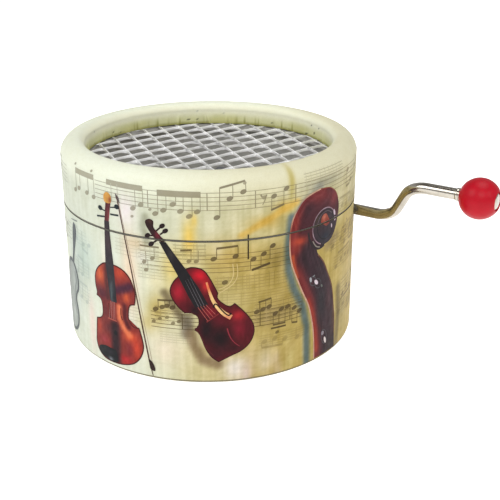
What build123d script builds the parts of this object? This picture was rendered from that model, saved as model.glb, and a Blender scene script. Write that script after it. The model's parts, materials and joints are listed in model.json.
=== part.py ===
from build123d import *
import os
from math import ceil, cos, pi, radians, sin, sqrt, tan

# Hand crank music box: a round card box with a printed paper wrap, a lift-off lid with an expanded
# metal mesh in its top, and an 18-note comb movement inside, driven by a bent wire crank.
# Millimetres. Origin at the centre of the underside, +Z up, crank axis along +X.

# Box
BOX_R = 27.0             # outside of the paper wrap
PAPER_T = 0.2
LABEL_T = 0.3
LABEL_R = 26.5
CARD_R = BOX_R - PAPER_T
COLLAR_R = 24.9          # outside of the inner collar
COLLAR_T = 0.9
COLLAR_TOP = 31.0
LID_FIT = 0.3            # gap between the collar and the lid's bore
LID_BORE_R = COLLAR_R + LID_FIT
BOTTOM_TOP = 2.3         # upper face of the bottom disc
SEAM_Z = 25.9
SEAM_GAP = 0.2
LID_FOOT = SEAM_Z + SEAM_GAP
BOX_TOP = 37.2
POCKET_R = 2.5           # pockets for the mounting screws, under the bottom disc
POCKET_T = 1.2

# Rounded rim and the mesh inside it
RIM_R = 22.6             # opening inside the rim
RIM_OUTER_ROUND = 2.9
RIM_INNER_ROUND = 1.4
MESH_T = 0.3
MESH_TOP = 32.9
MESH_R = 25.0
MESH_SHORT = 4.4         # spacing of the diamonds across
MESH_LONG = 6.2          # spacing of the diamonds along
MESH_STRAND = 0.6
MESH_TURN = 20.0         # direction of the short diagonal, degrees from +X
MESH_SHIFT = (-2.0, 4.5)
MESH_BORDER = 0.2        # solid edge left inside the rim
MESH_OVERRUN = 1.0       # how far past the rim a diamond's centre may fall
RETAINER_T = 1.2
RETAINER_R = 22.8

# Crank axis, along +X
CRANK_Y = 11.7
CRANK_Z = 23.4
CRANK_HOLE_R = 2.0
COLLAR_HOLE_R = 2.4
WIRE_R = 1.0
ARM_LEAN = 25.0          # the arm leans this far from upright towards -Y
ARM_THROW = 8.5
ARM_START_X = 31.8
ARM_END_X = 36.8
BEND_R = 5.0
KNOB_X = 49.0
KNOB_R = 3.5
KNOB_BORE_R = 1.08
SEAT_X = KNOB_X + 2.3    # floor of the recess in the ball's outer end
HEAD_X = SEAT_X + 0.1
HEAD_R = 1.45
HEAD_T = 0.7
HEAD_ROUND = 0.5
HEAD_FIT = 0.25
CRIMP_R = 1.15
CRIMP_T = 0.7
CRIMP_X = KNOB_X - KNOB_R - 0.6

# Worm and worm wheel, module 0.5
MODULE = 0.5
GEAR_TEETH = 28
GEAR_R = MODULE * GEAR_TEETH / 2
WORM_PITCH_R = 2.0
LEAD = pi * MODULE
WORM_TURNS = 5
FLANK = radians(20)
THREAD_W = 0.58          # axial thickness of the thread at its pitch radius
TOOTH_W = 0.5            # thickness of a gear tooth at its pitch radius
TOOTH_SINK = 0.1         # how far a tooth's foot runs into the wheel's rim
ADDENDUM = 0.45
DEDENDUM = 0.6
WORM_ROOT_R = WORM_PITCH_R - 0.55
WORM_TIP_R = WORM_PITCH_R + ADDENDUM
CREST_W = THREAD_W / 2 - ADDENDUM * tan(FLANK)
FOOT_W = THREAD_W / 2 + (WORM_PITCH_R - WORM_ROOT_R) * tan(FLANK)
FLANK_STEPS = 6

# Drum, axis along +Y, straight below the worm
DRUM_X = 4.0
DRUM_Z = CRANK_Z - GEAR_R - WORM_PITCH_R
DRUM_R = 6.5
DRUM_WALL = 0.4
DRUM_Y0 = -11.5
DRUM_Y1 = 8.5
DRUM_MID = (DRUM_Y0 + DRUM_Y1) / 2
END_CAP_T = 0.6
END_CAP_INSET = 0.2
ARBOR_R = 1.0
ARBOR_FRONT = 1.3        # arbor's reach past the drum at its front
ARBOR_REAR = 4.8         # and at its rear
JOURNAL_R = 0.8
JOURNAL_FIT = 0.04
JOURNAL_PROUD = 0.6
ARBOR_WASHER_R = 2.2
GEAR_FACE = 1.8
GEAR_HUB_R = 4.2
PIN_R = 0.2
PIN_TIP_R = 7.0
PINS_PER_NOTE = 6
PIN_ARC = 330.0          # one track's pins are spread over this much of a turn
PIN_STAGGER = 11.0
GOLDEN_TURN = 137.5
NOTES = 18
NOTE_PITCH = 1.08

# Comb
COMB_TOP = DRUM_Z + 0.5
COMB_BASE_T = 1.4
TOOTH_T = 0.7
COMB_BACK_X = -17.2
COMB_TIP_X = DRUM_X - PIN_TIP_R - 0.15
BASS_TOOTH = 10.5
TREBLE_TOOTH = 6.0
TOOTH_ROOT = 0.5         # how far a tooth runs into the thick back of the comb
TIP_TAPER = 1.2
SLOT_W = 0.28
BASS_NOTES = 7
WEIGHT_X = COMB_TIP_X - 2.2
WEIGHT_L = 2.4
WEIGHT_DEPTH = 1.4
WEIGHT_STEP = 0.12       # each weight is this much shallower than the last
COMB_SCREW_X = -15.4
COMB_SCREW_POINTS = [(COMB_SCREW_X, DRUM_MID + 7.5 * step) for step in (-1, 0, 1)]
COMB_HEAD_R = 1.8
COMB_HEAD_T = 1.1
COMB_SHANK = 5.0
COMB_HOLE_DEPTH = 4.0
SLOT_SCREW_W = 0.45
SLOT_SCREW_DEPTH = 0.5
SLOT_SCREW_TURN = 35.0

# Bedplate
PLATE_X = 34.0
PLATE_Y = 31.0
PLATE_Z0 = 4.3
PLATE_T = 1.6
PLATE_TOP = PLATE_Z0 + PLATE_T
PLATE_CORNER_R = 3.0
PLATFORM_X = COMB_SCREW_X + 0.1
PLATFORM_W = 3.4
PLATFORM_L = 21.0
UPRIGHT_T = 2.0
DRUM_UPRIGHT_W = 6.4
WORM_UPRIGHT_W = 5.8
DRUM_FRONT_Y = -14.9
DRUM_REAR_Y = 13.4
WORM_REAR_X = -6.4
WORM_FRONT_X = 12.4
MOUNT_POINTS = [(-12.5, -12.3), (13.2, -12.3), (13.2, 11.7)]
SCREW_R = 1.0
SCREW_FIT = 0.1
BOSS_R = 2.8
MOUNT_HOLE_DEPTH = 5.0
MOUNT_HEAD_Z = 0.4
MOUNT_HEAD_R = 1.9
MOUNT_SHANK = 5.8
CROSS_L = 2.4
CROSS_W = 0.5
CROSS_DEPTH = 0.5
WASHER_Z = 1.2
WASHER_R = 2.4
WASHER_T = 0.3

# Worm shaft and its bearings
REAR_JOURNAL_R = 1.0
FRONT_JOURNAL_R = 1.5
SHAFT_TAIL = 0.5         # shaft's reach past the clip
SHAFT_END_X = 18.5
SOCKET_X = 14.5
BUSH_SEAT_R = 2.0
BUSH_FIT = 0.04
BUSH_FLANGE_R = 2.5
BUSH_FLANGE_T = 0.5
END_PLAY = 0.1
REAR_SHOULDER_X = WORM_REAR_X + UPRIGHT_T + BUSH_FLANGE_T + END_PLAY
FRONT_SHOULDER_X = WORM_FRONT_X - BUSH_FLANGE_T - END_PLAY
SHOULDER_R = 2.1
SHOULDER_T = 0.9
CLIP_R = 2.0
CLIP_T = 0.4
CLIP_MOUTH = 1.1
CLIP_MOUTH_L = 3.0
CLIP_X = WORM_REAR_X - 0.15 - CLIP_T
CLIP_SEAT_R = 0.75
WORM_X0 = DRUM_X - LEAD * WORM_TURNS / 2
WORM_X1 = DRUM_X + LEAD * WORM_TURNS / 2


def along_x(x):
    """Plane square to the crank axis, at x, with its own x axis pointing down to the drum."""
    return Plane(origin=(x, CRANK_Y, CRANK_Z), x_dir=(0, 0, -1), z_dir=(1, 0, 0))


def along_y(y):
    """Plane square to the drum axis, at y."""
    return Plane(origin=(DRUM_X, y, DRUM_Z), x_dir=(0, 0, 1), z_dir=(0, 1, 0))


def ring(plane, outer, inner, length):
    """A plain ring standing on a plane, added to the part being built."""
    with BuildSketch(plane) as section:
        Circle(outer)
        Circle(inner, mode=Mode.SUBTRACT)
    extrude(section.sketch, amount=length)


def rod(plane, radius, length, mode=Mode.ADD):
    """A plain rod standing on a plane, added to or cut from the part being built."""
    with BuildSketch(plane) as section:
        Circle(radius)
    extrude(section.sketch, amount=length, mode=mode)


def rods_at(points, z, radius, length, mode=Mode.ADD):
    """Plain upright rods at plan points, added to or cut from the part being built."""
    with BuildSketch(Plane.XY.offset(z)) as section:
        with Locations(*points):
            Circle(radius)
    extrude(section.sketch, amount=length, mode=mode)


def rim_half_section(inset, foot_z):
    """Half section of the lid's wall and rounded rim, drawn inset from the face of the paper."""
    inner = RIM_R + inset
    outer = BOX_R - inset
    top = BOX_TOP - inset
    with BuildSketch(Plane.XY) as section:
        with Locations(((inner + outer) / 2, (foot_z + top) / 2)):
            Rectangle(outer - inner, top - foot_z)
        fillet(section.vertices().sort_by_distance((outer, top))[0], RIM_OUTER_ROUND - inset)
        fillet(section.vertices().sort_by_distance((inner, top))[0], RIM_INNER_ROUND - inset)
    return section.sketch


# Box base

with BuildPart() as base_paper:
    rod(Plane.XY, LABEL_R, LABEL_T)

with BuildPart() as bottom_disc:
    rod(Plane.XY.offset(LABEL_T), COLLAR_R - COLLAR_T, BOTTOM_TOP - LABEL_T)
    rods_at(MOUNT_POINTS, LABEL_T, POCKET_R, POCKET_T, Mode.SUBTRACT)
    rods_at(MOUNT_POINTS, LABEL_T, SCREW_R + SCREW_FIT, BOTTOM_TOP, Mode.SUBTRACT)

with BuildPart() as lower_shell:
    ring(Plane.XY.offset(LABEL_T), CARD_R, COLLAR_R, SEAM_Z - LABEL_T)
    rod(along_x(0), CRANK_HOLE_R, BOX_R, Mode.SUBTRACT)

with BuildPart() as lower_wrap:
    ring(Plane.XY.offset(LABEL_T), BOX_R, CARD_R, SEAM_Z - LABEL_T)
    rod(along_x(0), CRANK_HOLE_R, BOX_R, Mode.SUBTRACT)

with BuildPart() as inner_collar:
    ring(Plane.XY.offset(LABEL_T), COLLAR_R, COLLAR_R - COLLAR_T, COLLAR_TOP - LABEL_T)
    rod(along_x(0), COLLAR_HOLE_R, BOX_R, Mode.SUBTRACT)

# Lid

with BuildPart() as lid_shell:
    ring(Plane.XY.offset(LID_FOOT), CARD_R, LID_BORE_R, MESH_TOP - LID_FOOT)

with BuildPart() as lid_rim_ring:
    with BuildSketch(Plane.XZ):
        add(rim_half_section(PAPER_T, MESH_TOP))
    revolve(axis=Axis.Z)

with BuildPart() as lid_wrap:
    with BuildSketch(Plane.XZ):
        add(rim_half_section(0, LID_FOOT))
        add(rim_half_section(PAPER_T, LID_FOOT), mode=Mode.SUBTRACT)
        with Locations((RIM_R, (LID_FOOT + MESH_TOP) / 2)):
            Rectangle(3 * PAPER_T, MESH_TOP - LID_FOOT, mode=Mode.SUBTRACT)
    revolve(axis=Axis.Z)

with BuildPart() as mesh_retainer:
    ring(Plane.XY.offset(MESH_TOP - MESH_T - RETAINER_T), LID_BORE_R, RETAINER_R, RETAINER_T)


def diamond_centres():
    """Centres of the diamonds of the expanded metal that fall inside the rim."""
    across = Vector(MESH_SHORT, 0).rotate(Axis.Z, MESH_TURN)
    slanting = Vector(MESH_SHORT / 2, MESH_LONG / 2).rotate(Axis.Z, MESH_TURN)
    reach = ceil(2 * RIM_R / MESH_SHORT)
    centres = []
    for i in range(-2 * reach, 2 * reach + 1):
        for j in range(-reach, reach + 1):
            centre = Vector(*MESH_SHIFT) + across * i + slanting * j
            if centre.length < RIM_R + MESH_OVERRUN:
                centres.append((centre.X, centre.Y))
    return centres


half_short = MESH_SHORT / 2
half_long = MESH_LONG / 2
strand_share = MESH_STRAND / 2 * sqrt(half_short**2 + half_long**2) / (half_short * half_long)
open_short = half_short * (1 - strand_share)
open_long = half_long * (1 - strand_share)

with BuildPart() as mesh_disc:
    rod(Plane.XY.offset(MESH_TOP - MESH_T), MESH_R, MESH_T)
    with BuildSketch(Plane.XY.offset(MESH_TOP - MESH_T)):
        with Locations(*diamond_centres()):
            Polygon(
                (open_short, 0),
                (0, open_long),
                (-open_short, 0),
                (0, -open_long),
                rotation=MESH_TURN,
            )
        Circle(RIM_R - MESH_BORDER, mode=Mode.INTERSECT)
    extrude(amount=MESH_T, mode=Mode.SUBTRACT)

# Movement: bedplate


def upright(plane, width, foot_z, axis_z, bore_r):
    """A round-topped upright with a bearing bore, standing on the bedplate."""
    with BuildSketch(plane) as section:
        Circle(width / 2)
        with Locations(((axis_z - foot_z) / 2, 0)):
            Rectangle(axis_z - foot_z, width)
    extrude(section.sketch, amount=UPRIGHT_T)
    rod(plane, bore_r, UPRIGHT_T, Mode.SUBTRACT)


drum_front = Plane(origin=(DRUM_X, DRUM_FRONT_Y, DRUM_Z), x_dir=(0, 0, -1), z_dir=(0, 1, 0))
drum_rear = Plane(origin=(DRUM_X, DRUM_REAR_Y, DRUM_Z), x_dir=(0, 0, -1), z_dir=(0, 1, 0))

with BuildPart() as bedplate:
    with BuildSketch(Plane.XY.offset(PLATE_Z0)):
        RectangleRounded(PLATE_X, PLATE_Y, PLATE_CORNER_R)
    extrude(amount=PLATE_T)
    rods_at(MOUNT_POINTS, BOTTOM_TOP, BOSS_R, PLATE_Z0 - BOTTOM_TOP)
    with BuildSketch(Plane.XY.offset(PLATE_TOP)):
        with Locations((PLATFORM_X, DRUM_MID)):
            Rectangle(PLATFORM_W, PLATFORM_L)
    extrude(amount=COMB_TOP - COMB_BASE_T - PLATE_TOP)
    upright(drum_front, DRUM_UPRIGHT_W, PLATE_TOP, DRUM_Z, JOURNAL_R + JOURNAL_FIT)
    upright(drum_rear, DRUM_UPRIGHT_W, PLATE_TOP, DRUM_Z, JOURNAL_R + JOURNAL_FIT)
    upright(along_x(WORM_REAR_X), WORM_UPRIGHT_W, PLATE_TOP, CRANK_Z, BUSH_SEAT_R)
    upright(along_x(WORM_FRONT_X), WORM_UPRIGHT_W, PLATE_TOP, CRANK_Z, BUSH_SEAT_R)
    rods_at(MOUNT_POINTS, BOTTOM_TOP, SCREW_R, MOUNT_HOLE_DEPTH, Mode.SUBTRACT)
    rods_at(COMB_SCREW_POINTS, COMB_TOP - COMB_BASE_T, SCREW_R, -COMB_HOLE_DEPTH, Mode.SUBTRACT)

with BuildPart() as mounting_screws:
    rods_at(MOUNT_POINTS, MOUNT_HEAD_Z, MOUNT_HEAD_R, WASHER_Z - MOUNT_HEAD_Z)
    with BuildSketch(Plane.XY.offset(MOUNT_HEAD_Z)):
        with Locations(*MOUNT_POINTS):
            Rectangle(CROSS_L, CROSS_W)
            Rectangle(CROSS_W, CROSS_L)
    extrude(amount=CROSS_DEPTH, mode=Mode.SUBTRACT)
    rods_at(MOUNT_POINTS, WASHER_Z, SCREW_R, MOUNT_SHANK)

with BuildPart() as mounting_washers:
    rods_at(MOUNT_POINTS, WASHER_Z, WASHER_R, WASHER_T)
    rods_at(MOUNT_POINTS, WASHER_Z, SCREW_R, WASHER_T, Mode.SUBTRACT)

# Movement: comb


def note_y(note):
    """Middle of a note's track along the drum, from the bass end."""
    return DRUM_MID + (note - (NOTES - 1) / 2) * NOTE_PITCH


def tooth_length(note):
    return BASS_TOOTH + (TREBLE_TOOTH - BASS_TOOTH) * note / (NOTES - 1)


comb_half = NOTES * NOTE_PITCH / 2
tooth_half = (NOTE_PITCH - SLOT_W) / 2

with BuildPart() as comb:
    with BuildSketch(Plane.XY.offset(COMB_TOP - COMB_BASE_T)):
        with BuildLine():
            Polyline(
                (COMB_BACK_X, DRUM_MID - comb_half),
                (COMB_TIP_X - BASS_TOOTH, DRUM_MID - comb_half),
                (COMB_TIP_X - TREBLE_TOOTH, DRUM_MID + comb_half),
                (COMB_BACK_X, DRUM_MID + comb_half),
                close=True,
            )
        make_face()
    extrude(amount=COMB_BASE_T)
    with BuildSketch(Plane.XY.offset(COMB_TOP - TOOTH_T)):
        for note in range(NOTES):
            root_x = COMB_TIP_X - tooth_length(note) - TOOTH_ROOT
            with BuildLine():
                Polyline(
                    (root_x, note_y(note) - tooth_half),
                    (COMB_TIP_X - TIP_TAPER, note_y(note) - tooth_half),
                    (COMB_TIP_X, note_y(note) - tooth_half / 2),
                    (COMB_TIP_X, note_y(note) + tooth_half / 2),
                    (COMB_TIP_X - TIP_TAPER, note_y(note) + tooth_half),
                    (root_x, note_y(note) + tooth_half),
                    close=True,
                )
            make_face()
    extrude(amount=TOOTH_T)
    rods_at(COMB_SCREW_POINTS, COMB_TOP, SCREW_R, -COMB_BASE_T, Mode.SUBTRACT)

with BuildPart() as comb_bass_weights:
    for note in range(BASS_NOTES):
        with BuildSketch(Plane.XY.offset(COMB_TOP - TOOTH_T)):
            with Locations((WEIGHT_X, note_y(note))):
                Rectangle(WEIGHT_L, 2 * tooth_half)
        extrude(amount=WEIGHT_STEP * note - WEIGHT_DEPTH)

with BuildPart() as comb_screws:
    rods_at(COMB_SCREW_POINTS, COMB_TOP, COMB_HEAD_R, COMB_HEAD_T)
    with BuildSketch(Plane.XY.offset(COMB_TOP + COMB_HEAD_T)):
        with Locations(*COMB_SCREW_POINTS):
            Rectangle(3 * COMB_HEAD_R, SLOT_SCREW_W, rotation=SLOT_SCREW_TURN)
    extrude(amount=-SLOT_SCREW_DEPTH, mode=Mode.SUBTRACT)
    rods_at(COMB_SCREW_POINTS, COMB_TOP, SCREW_R, -COMB_SHANK)

# Movement: drum

with BuildPart() as drum_arbor:
    rod(along_y(DRUM_Y0 - ARBOR_FRONT), ARBOR_R, ARBOR_FRONT + DRUM_Y1 - DRUM_Y0 + ARBOR_REAR)
    rod(
        along_y(DRUM_FRONT_Y - JOURNAL_PROUD),
        JOURNAL_R,
        DRUM_REAR_Y - DRUM_FRONT_Y + UPRIGHT_T + 2 * JOURNAL_PROUD,
    )

with BuildPart() as drum_core:
    ring(along_y(DRUM_Y0), DRUM_R - DRUM_WALL, ARBOR_R, DRUM_Y1 - DRUM_Y0)

with BuildPart() as drum_sleeve:
    ring(along_y(DRUM_Y0), DRUM_R, DRUM_R - DRUM_WALL, DRUM_Y1 - DRUM_Y0)

with BuildPart() as drum_end_cap:
    ring(along_y(DRUM_Y0 - END_CAP_T), DRUM_R - END_CAP_INSET, ARBOR_R, END_CAP_T)

with BuildPart() as drum_washer:
    ring(along_y(CRANK_Y + GEAR_FACE / 2), ARBOR_WASHER_R, ARBOR_R, WASHER_T)

with BuildPart() as drum_gear:
    with BuildSketch(along_y(CRANK_Y - GEAR_FACE / 2)):
        Circle(GEAR_R - DEDENDUM)
        with PolarLocations(0, GEAR_TEETH):
            tip_half = TOOTH_W / 2 - ADDENDUM * tan(FLANK)
            root_half = TOOTH_W / 2 + (DEDENDUM + TOOTH_SINK) * tan(FLANK)
            Polygon(
                (GEAR_R - DEDENDUM - TOOTH_SINK, -root_half),
                (GEAR_R + ADDENDUM, -tip_half),
                (GEAR_R + ADDENDUM, tip_half),
                (GEAR_R - DEDENDUM - TOOTH_SINK, root_half),
                align=None,
            )
        Circle(ARBOR_R, mode=Mode.SUBTRACT)
    extrude(amount=GEAR_FACE)
    ring(along_y(DRUM_Y1), GEAR_HUB_R, ARBOR_R, CRANK_Y - GEAR_FACE / 2 - DRUM_Y1)

with BuildPart() as drum_pins:
    for note in range(NOTES):
        for beat in range(PINS_PER_NOTE):
            turn = GOLDEN_TURN * note + PIN_ARC * beat / PINS_PER_NOTE + PIN_STAGGER * (note % 3)
            foot = Vector(DRUM_R, 0, 0).rotate(Axis.Y, turn)
            outward = foot.normalized()
            centre = Vector(DRUM_X, note_y(note), DRUM_Z) + foot
            rod(Plane(origin=centre, z_dir=outward), PIN_R, PIN_TIP_R - DRUM_R)

# Movement: worm shaft and its bearings


def thread_point(share, side):
    """Point of the worm's cross-section on one flank, from the crest (0) to the root (1)."""
    radius = WORM_TIP_R + (WORM_ROOT_R - WORM_TIP_R) * share
    turn = side * 2 * pi * (CREST_W + (FOOT_W - CREST_W) * share) / LEAD
    return (radius * cos(turn), radius * sin(turn))


with BuildSketch(along_x(WORM_X0)) as worm_section:
    with BuildLine():
        ThreePointArc(thread_point(0, -1), (WORM_TIP_R, 0), thread_point(0, 1))
        Spline(*[thread_point(step / FLANK_STEPS, 1) for step in range(FLANK_STEPS + 1)])
        ThreePointArc(thread_point(1, 1), (-WORM_ROOT_R, 0), thread_point(1, -1))
        Spline(*[thread_point(step / FLANK_STEPS, -1) for step in range(FLANK_STEPS + 1)])
    make_face()

thread = Solid.extrude_linear_with_rotation(
    worm_section.sketch.face(),
    center=(WORM_X0, CRANK_Y, CRANK_Z),
    normal=(WORM_X1 - WORM_X0, 0, 0),
    angle=360 * WORM_TURNS,
)

with BuildPart() as worm_shaft:
    add(thread)
    rod(along_x(REAR_SHOULDER_X), WORM_ROOT_R, WORM_X0 - REAR_SHOULDER_X)
    rod(along_x(WORM_X1), WORM_ROOT_R, FRONT_SHOULDER_X - WORM_X1)
    rod(along_x(CLIP_X - SHAFT_TAIL), REAR_JOURNAL_R, SHAFT_TAIL + REAR_SHOULDER_X - CLIP_X)
    rod(along_x(FRONT_SHOULDER_X - SHOULDER_T), SHOULDER_R, SHOULDER_T)
    rod(along_x(FRONT_SHOULDER_X), FRONT_JOURNAL_R, SHAFT_END_X - FRONT_SHOULDER_X)
    rod(along_x(SOCKET_X), WIRE_R, SHAFT_END_X - SOCKET_X, Mode.SUBTRACT)
    with BuildSketch(along_x(CLIP_X)):
        Circle(SHOULDER_R)
        Circle(CLIP_SEAT_R, mode=Mode.SUBTRACT)
    extrude(amount=CLIP_T, mode=Mode.SUBTRACT)

with BuildPart() as worm_clip:
    with BuildSketch(along_x(CLIP_X)):
        Circle(CLIP_R)
        Circle(CLIP_SEAT_R, mode=Mode.SUBTRACT)
        with Locations((-CLIP_MOUTH_L / 2, 0)):
            Rectangle(CLIP_MOUTH_L, CLIP_MOUTH, mode=Mode.SUBTRACT)
    extrude(amount=CLIP_T)

with BuildPart() as worm_bush_rear:
    ring(along_x(WORM_REAR_X), BUSH_SEAT_R, REAR_JOURNAL_R + BUSH_FIT, UPRIGHT_T)
    ring(along_x(WORM_REAR_X + UPRIGHT_T), BUSH_FLANGE_R, REAR_JOURNAL_R + BUSH_FIT, BUSH_FLANGE_T)

with BuildPart() as worm_bush_front:
    ring(along_x(WORM_FRONT_X), BUSH_SEAT_R, FRONT_JOURNAL_R + BUSH_FIT, UPRIGHT_T)
    ring(along_x(WORM_FRONT_X - BUSH_FLANGE_T), BUSH_FLANGE_R, FRONT_JOURNAL_R + BUSH_FIT, BUSH_FLANGE_T)

# Crank and its ball

arm_y = -sin(radians(ARM_LEAN))
arm_z = cos(radians(ARM_LEAN))
crank_plane = Plane(origin=(0, CRANK_Y, CRANK_Z), x_dir=(1, 0, 0), z_dir=(0, -arm_z, arm_y))


def on_knob_axis(x):
    """Plane square to the end section of the wire, at x."""
    return Plane(
        origin=(x, CRANK_Y + ARM_THROW * arm_y, CRANK_Z + ARM_THROW * arm_z),
        x_dir=(0, 1, 0),
        z_dir=(1, 0, 0),
    )


with BuildPart() as crank_wire:
    with BuildLine(crank_plane) as route:
        FilletPolyline(
            (SOCKET_X, 0),
            (ARM_START_X, 0),
            (ARM_END_X, ARM_THROW),
            (HEAD_X, ARM_THROW),
            radius=BEND_R,
        )
    with BuildSketch(along_x(SOCKET_X)):
        Circle(WIRE_R)
    sweep()
    rod(on_knob_axis(CRIMP_X), CRIMP_R, CRIMP_T)
    rod(on_knob_axis(HEAD_X), HEAD_R, HEAD_T)
    fillet(crank_wire.faces().sort_by(Axis.X)[-1].edges(), HEAD_ROUND)

with BuildPart() as crank_knob:
    with BuildSketch(crank_plane):
        with Locations((KNOB_X, ARM_THROW)):
            Circle(KNOB_R)
            with Locations((0, -KNOB_R)):
                Rectangle(2 * KNOB_R, 2 * KNOB_R, mode=Mode.SUBTRACT)
    revolve(axis=Axis(on_knob_axis(KNOB_X).origin, (1, 0, 0)))
    rod(on_knob_axis(KNOB_X - KNOB_R), KNOB_BORE_R, 2 * KNOB_R, Mode.SUBTRACT)
    rod(on_knob_axis(SEAT_X), HEAD_R + HEAD_FIT, KNOB_R, Mode.SUBTRACT)

pieces = {
    "base_paper": base_paper,
    "bottom_disc": bottom_disc,
    "lower_shell": lower_shell,
    "lower_wrap": lower_wrap,
    "inner_collar": inner_collar,
    "lid_shell": lid_shell,
    "lid_rim_ring": lid_rim_ring,
    "lid_wrap": lid_wrap,
    "mesh_disc": mesh_disc,
    "mesh_retainer": mesh_retainer,
    "bedplate": bedplate,
    "mounting_screws": mounting_screws,
    "mounting_washers": mounting_washers,
    "comb": comb,
    "comb_bass_weights": comb_bass_weights,
    "comb_screws": comb_screws,
    "drum_arbor": drum_arbor,
    "drum_core": drum_core,
    "drum_sleeve": drum_sleeve,
    "drum_end_cap": drum_end_cap,
    "drum_washer": drum_washer,
    "drum_gear": drum_gear,
    "drum_pins": drum_pins,
    "worm_shaft": worm_shaft,
    "worm_clip": worm_clip,
    "worm_bush_rear": worm_bush_rear,
    "worm_bush_front": worm_bush_front,
    "crank_wire": crank_wire,
    "crank_knob": crank_knob,
}
os.makedirs("parts", exist_ok=True)
for name, piece in pieces.items():
    piece.part.label = name
    export_step(piece.part, f"parts/{name}.step")
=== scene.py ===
"""Looks of the hand crank music box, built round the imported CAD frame."""
import json
import math
import random

import bmesh
import bpy
from mathutils import Matrix, Vector, noise


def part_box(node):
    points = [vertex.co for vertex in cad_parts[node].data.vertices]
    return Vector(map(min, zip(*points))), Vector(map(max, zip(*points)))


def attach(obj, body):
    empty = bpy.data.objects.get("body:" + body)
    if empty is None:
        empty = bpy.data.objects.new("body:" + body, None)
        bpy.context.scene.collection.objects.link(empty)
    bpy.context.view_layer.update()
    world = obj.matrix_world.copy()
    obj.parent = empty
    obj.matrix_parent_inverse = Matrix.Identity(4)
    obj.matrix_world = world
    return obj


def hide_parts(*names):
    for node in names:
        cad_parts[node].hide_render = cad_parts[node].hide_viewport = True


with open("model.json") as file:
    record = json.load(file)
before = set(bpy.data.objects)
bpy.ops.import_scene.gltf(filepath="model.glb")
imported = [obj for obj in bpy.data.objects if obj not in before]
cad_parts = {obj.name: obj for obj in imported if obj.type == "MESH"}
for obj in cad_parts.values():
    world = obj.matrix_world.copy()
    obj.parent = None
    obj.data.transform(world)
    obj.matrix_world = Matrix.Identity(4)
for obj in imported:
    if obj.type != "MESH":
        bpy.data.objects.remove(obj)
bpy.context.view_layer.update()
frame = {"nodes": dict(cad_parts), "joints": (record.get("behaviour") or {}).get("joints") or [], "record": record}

MM = 0.001
NODES = frame["nodes"]
JOINTS = {joint["name"]: joint for joint in frame["joints"]}


def box_mm(node):
    """Lowest and highest corner of a CAD node, in millimetres."""
    low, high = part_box(node)
    return low / MM, high / MM


# Sizes in millimetres, from the CAD where a node's box gives them.
BOX_R = box_mm("lower_wrap")[1].x
WALL_FOOT = box_mm("lower_wrap")[0].z
SEAM_Z = box_mm("lower_wrap")[1].z
LID_FOOT = box_mm("lid_wrap")[0].z
BOX_TOP = box_mm("lid_wrap")[1].z
MESH_TOP = box_mm("mesh_disc")[1].z
KNOB_LOW, KNOB_HIGH = box_mm("crank_knob")
CRANK_AXIS = Vector(JOINTS["crank_spin"]["pos_m"]) / MM
KNOB_AXIS = Vector(JOINTS["knob_spin"]["pos_m"]) / MM
RIM_R = 22.6
OUTER_ROUND = 2.9
INNER_ROUND = 1.4
PAPER_T = 0.2
SKIN = 0.09                     # room left for waves, folds and prints inside the CAD's outline
PAPER_R = BOX_R - SKIN
HOLE_R = 2.0
FRONT = math.radians(-54)       # the side that the photograph looks at
GIRTH = 2 * math.pi * BOX_R
ROUND_START = BOX_TOP - OUTER_ROUND
INNER_DROP = BOX_TOP - INNER_ROUND - MESH_TOP
HALF_TURN = math.pi / 2
WRAP_STEPS = 420                # steps round each paper wrap
ROUND_CUTS, CUT_STEP = 18, 0.25  # cuts that let a print bend over the rim
# The first colour is painted shade along both paper edges at the seam; the second is the bare, unprinted back of
# the paper.
SEAM_SHADE, BARE_PAPER = (70, 62, 44), (196, 188, 164)


# ---------------------------------------------------------------- small maths


def ramp(low, high, x):
    """0 below low, 1 above high, smooth between."""
    t = min(max((x - low) / (high - low), 0.0), 1.0)
    return t * t * (3 - 2 * t)


def mix(a, b, t):
    return tuple(p + (q - p) * t for p, q in zip(a, b))


def linear(colour):
    """An sRGB colour out of 255 as linear RGBA."""
    out = []
    for c in colour:
        c = min(max(c / 255, 0.0), 1.0)
        out.append(c / 12.92 if c <= 0.04045 else ((c + 0.055) / 1.055) ** 2.4)
    return (*out, 1.0)


def near(u, s, u0, s0, ru, rs):
    """1 at (u0, s0), falling off smoothly to nothing at three times the radii."""
    du = (u - u0 + GIRTH / 2) % GIRTH - GIRTH / 2
    d = (du / ru) ** 2 + ((s - s0) / rs) ** 2
    return math.exp(-d) if d < 9 else 0.0


def polar(r, angle, z=0.0):
    """A point at radius r, an angle round Z and height z."""
    return Vector((r * math.cos(angle), r * math.sin(angle), z))


def grain(x, y, z):
    """Smooth noise about zero at a point."""
    return noise.noise(Vector((x, y, z)))


def off_line(u, s, points):
    """Distance from a point to a polyline."""
    best = 1e9
    for (au, a_s), (bu, bs) in zip(points, points[1:]):
        du, ds = bu - au, bs - a_s
        t = min(max(((u - au) * du + (s - a_s) * ds) / (du * du + ds * ds), 0.0), 1.0)
        best = min(best, math.hypot(u - au - t * du, s - a_s - t * ds))
    return best


# ------------------------------------------------------- the printed paper


def lap(u):
    """Where the paper's end laps over its start, round the back."""
    return 0.03 * ramp(80.0, 80.15, u) * (1 - ramp(84.2, 84.6, u))


def paper_point(u, s, lift=0.0):
    """Point of the outside of the paper at arc u and path height s, lifted off it."""
    angle = FRONT + u / BOX_R
    lean = min(max((s - ROUND_START) / OUTER_ROUND, 0.0), HALF_TURN)
    wave = 0.03 * noise.noise(polar(2.4, angle, s / 9))
    bend_r = OUTER_ROUND - (BOX_R - PAPER_R)
    out = wave + lift + lap(u)
    r = PAPER_R - bend_r * (1 - math.cos(lean)) + out * math.cos(lean)
    z = min(s, ROUND_START) + bend_r * math.sin(lean) + out * math.sin(lean)
    return polar(r, angle, z)


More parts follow.
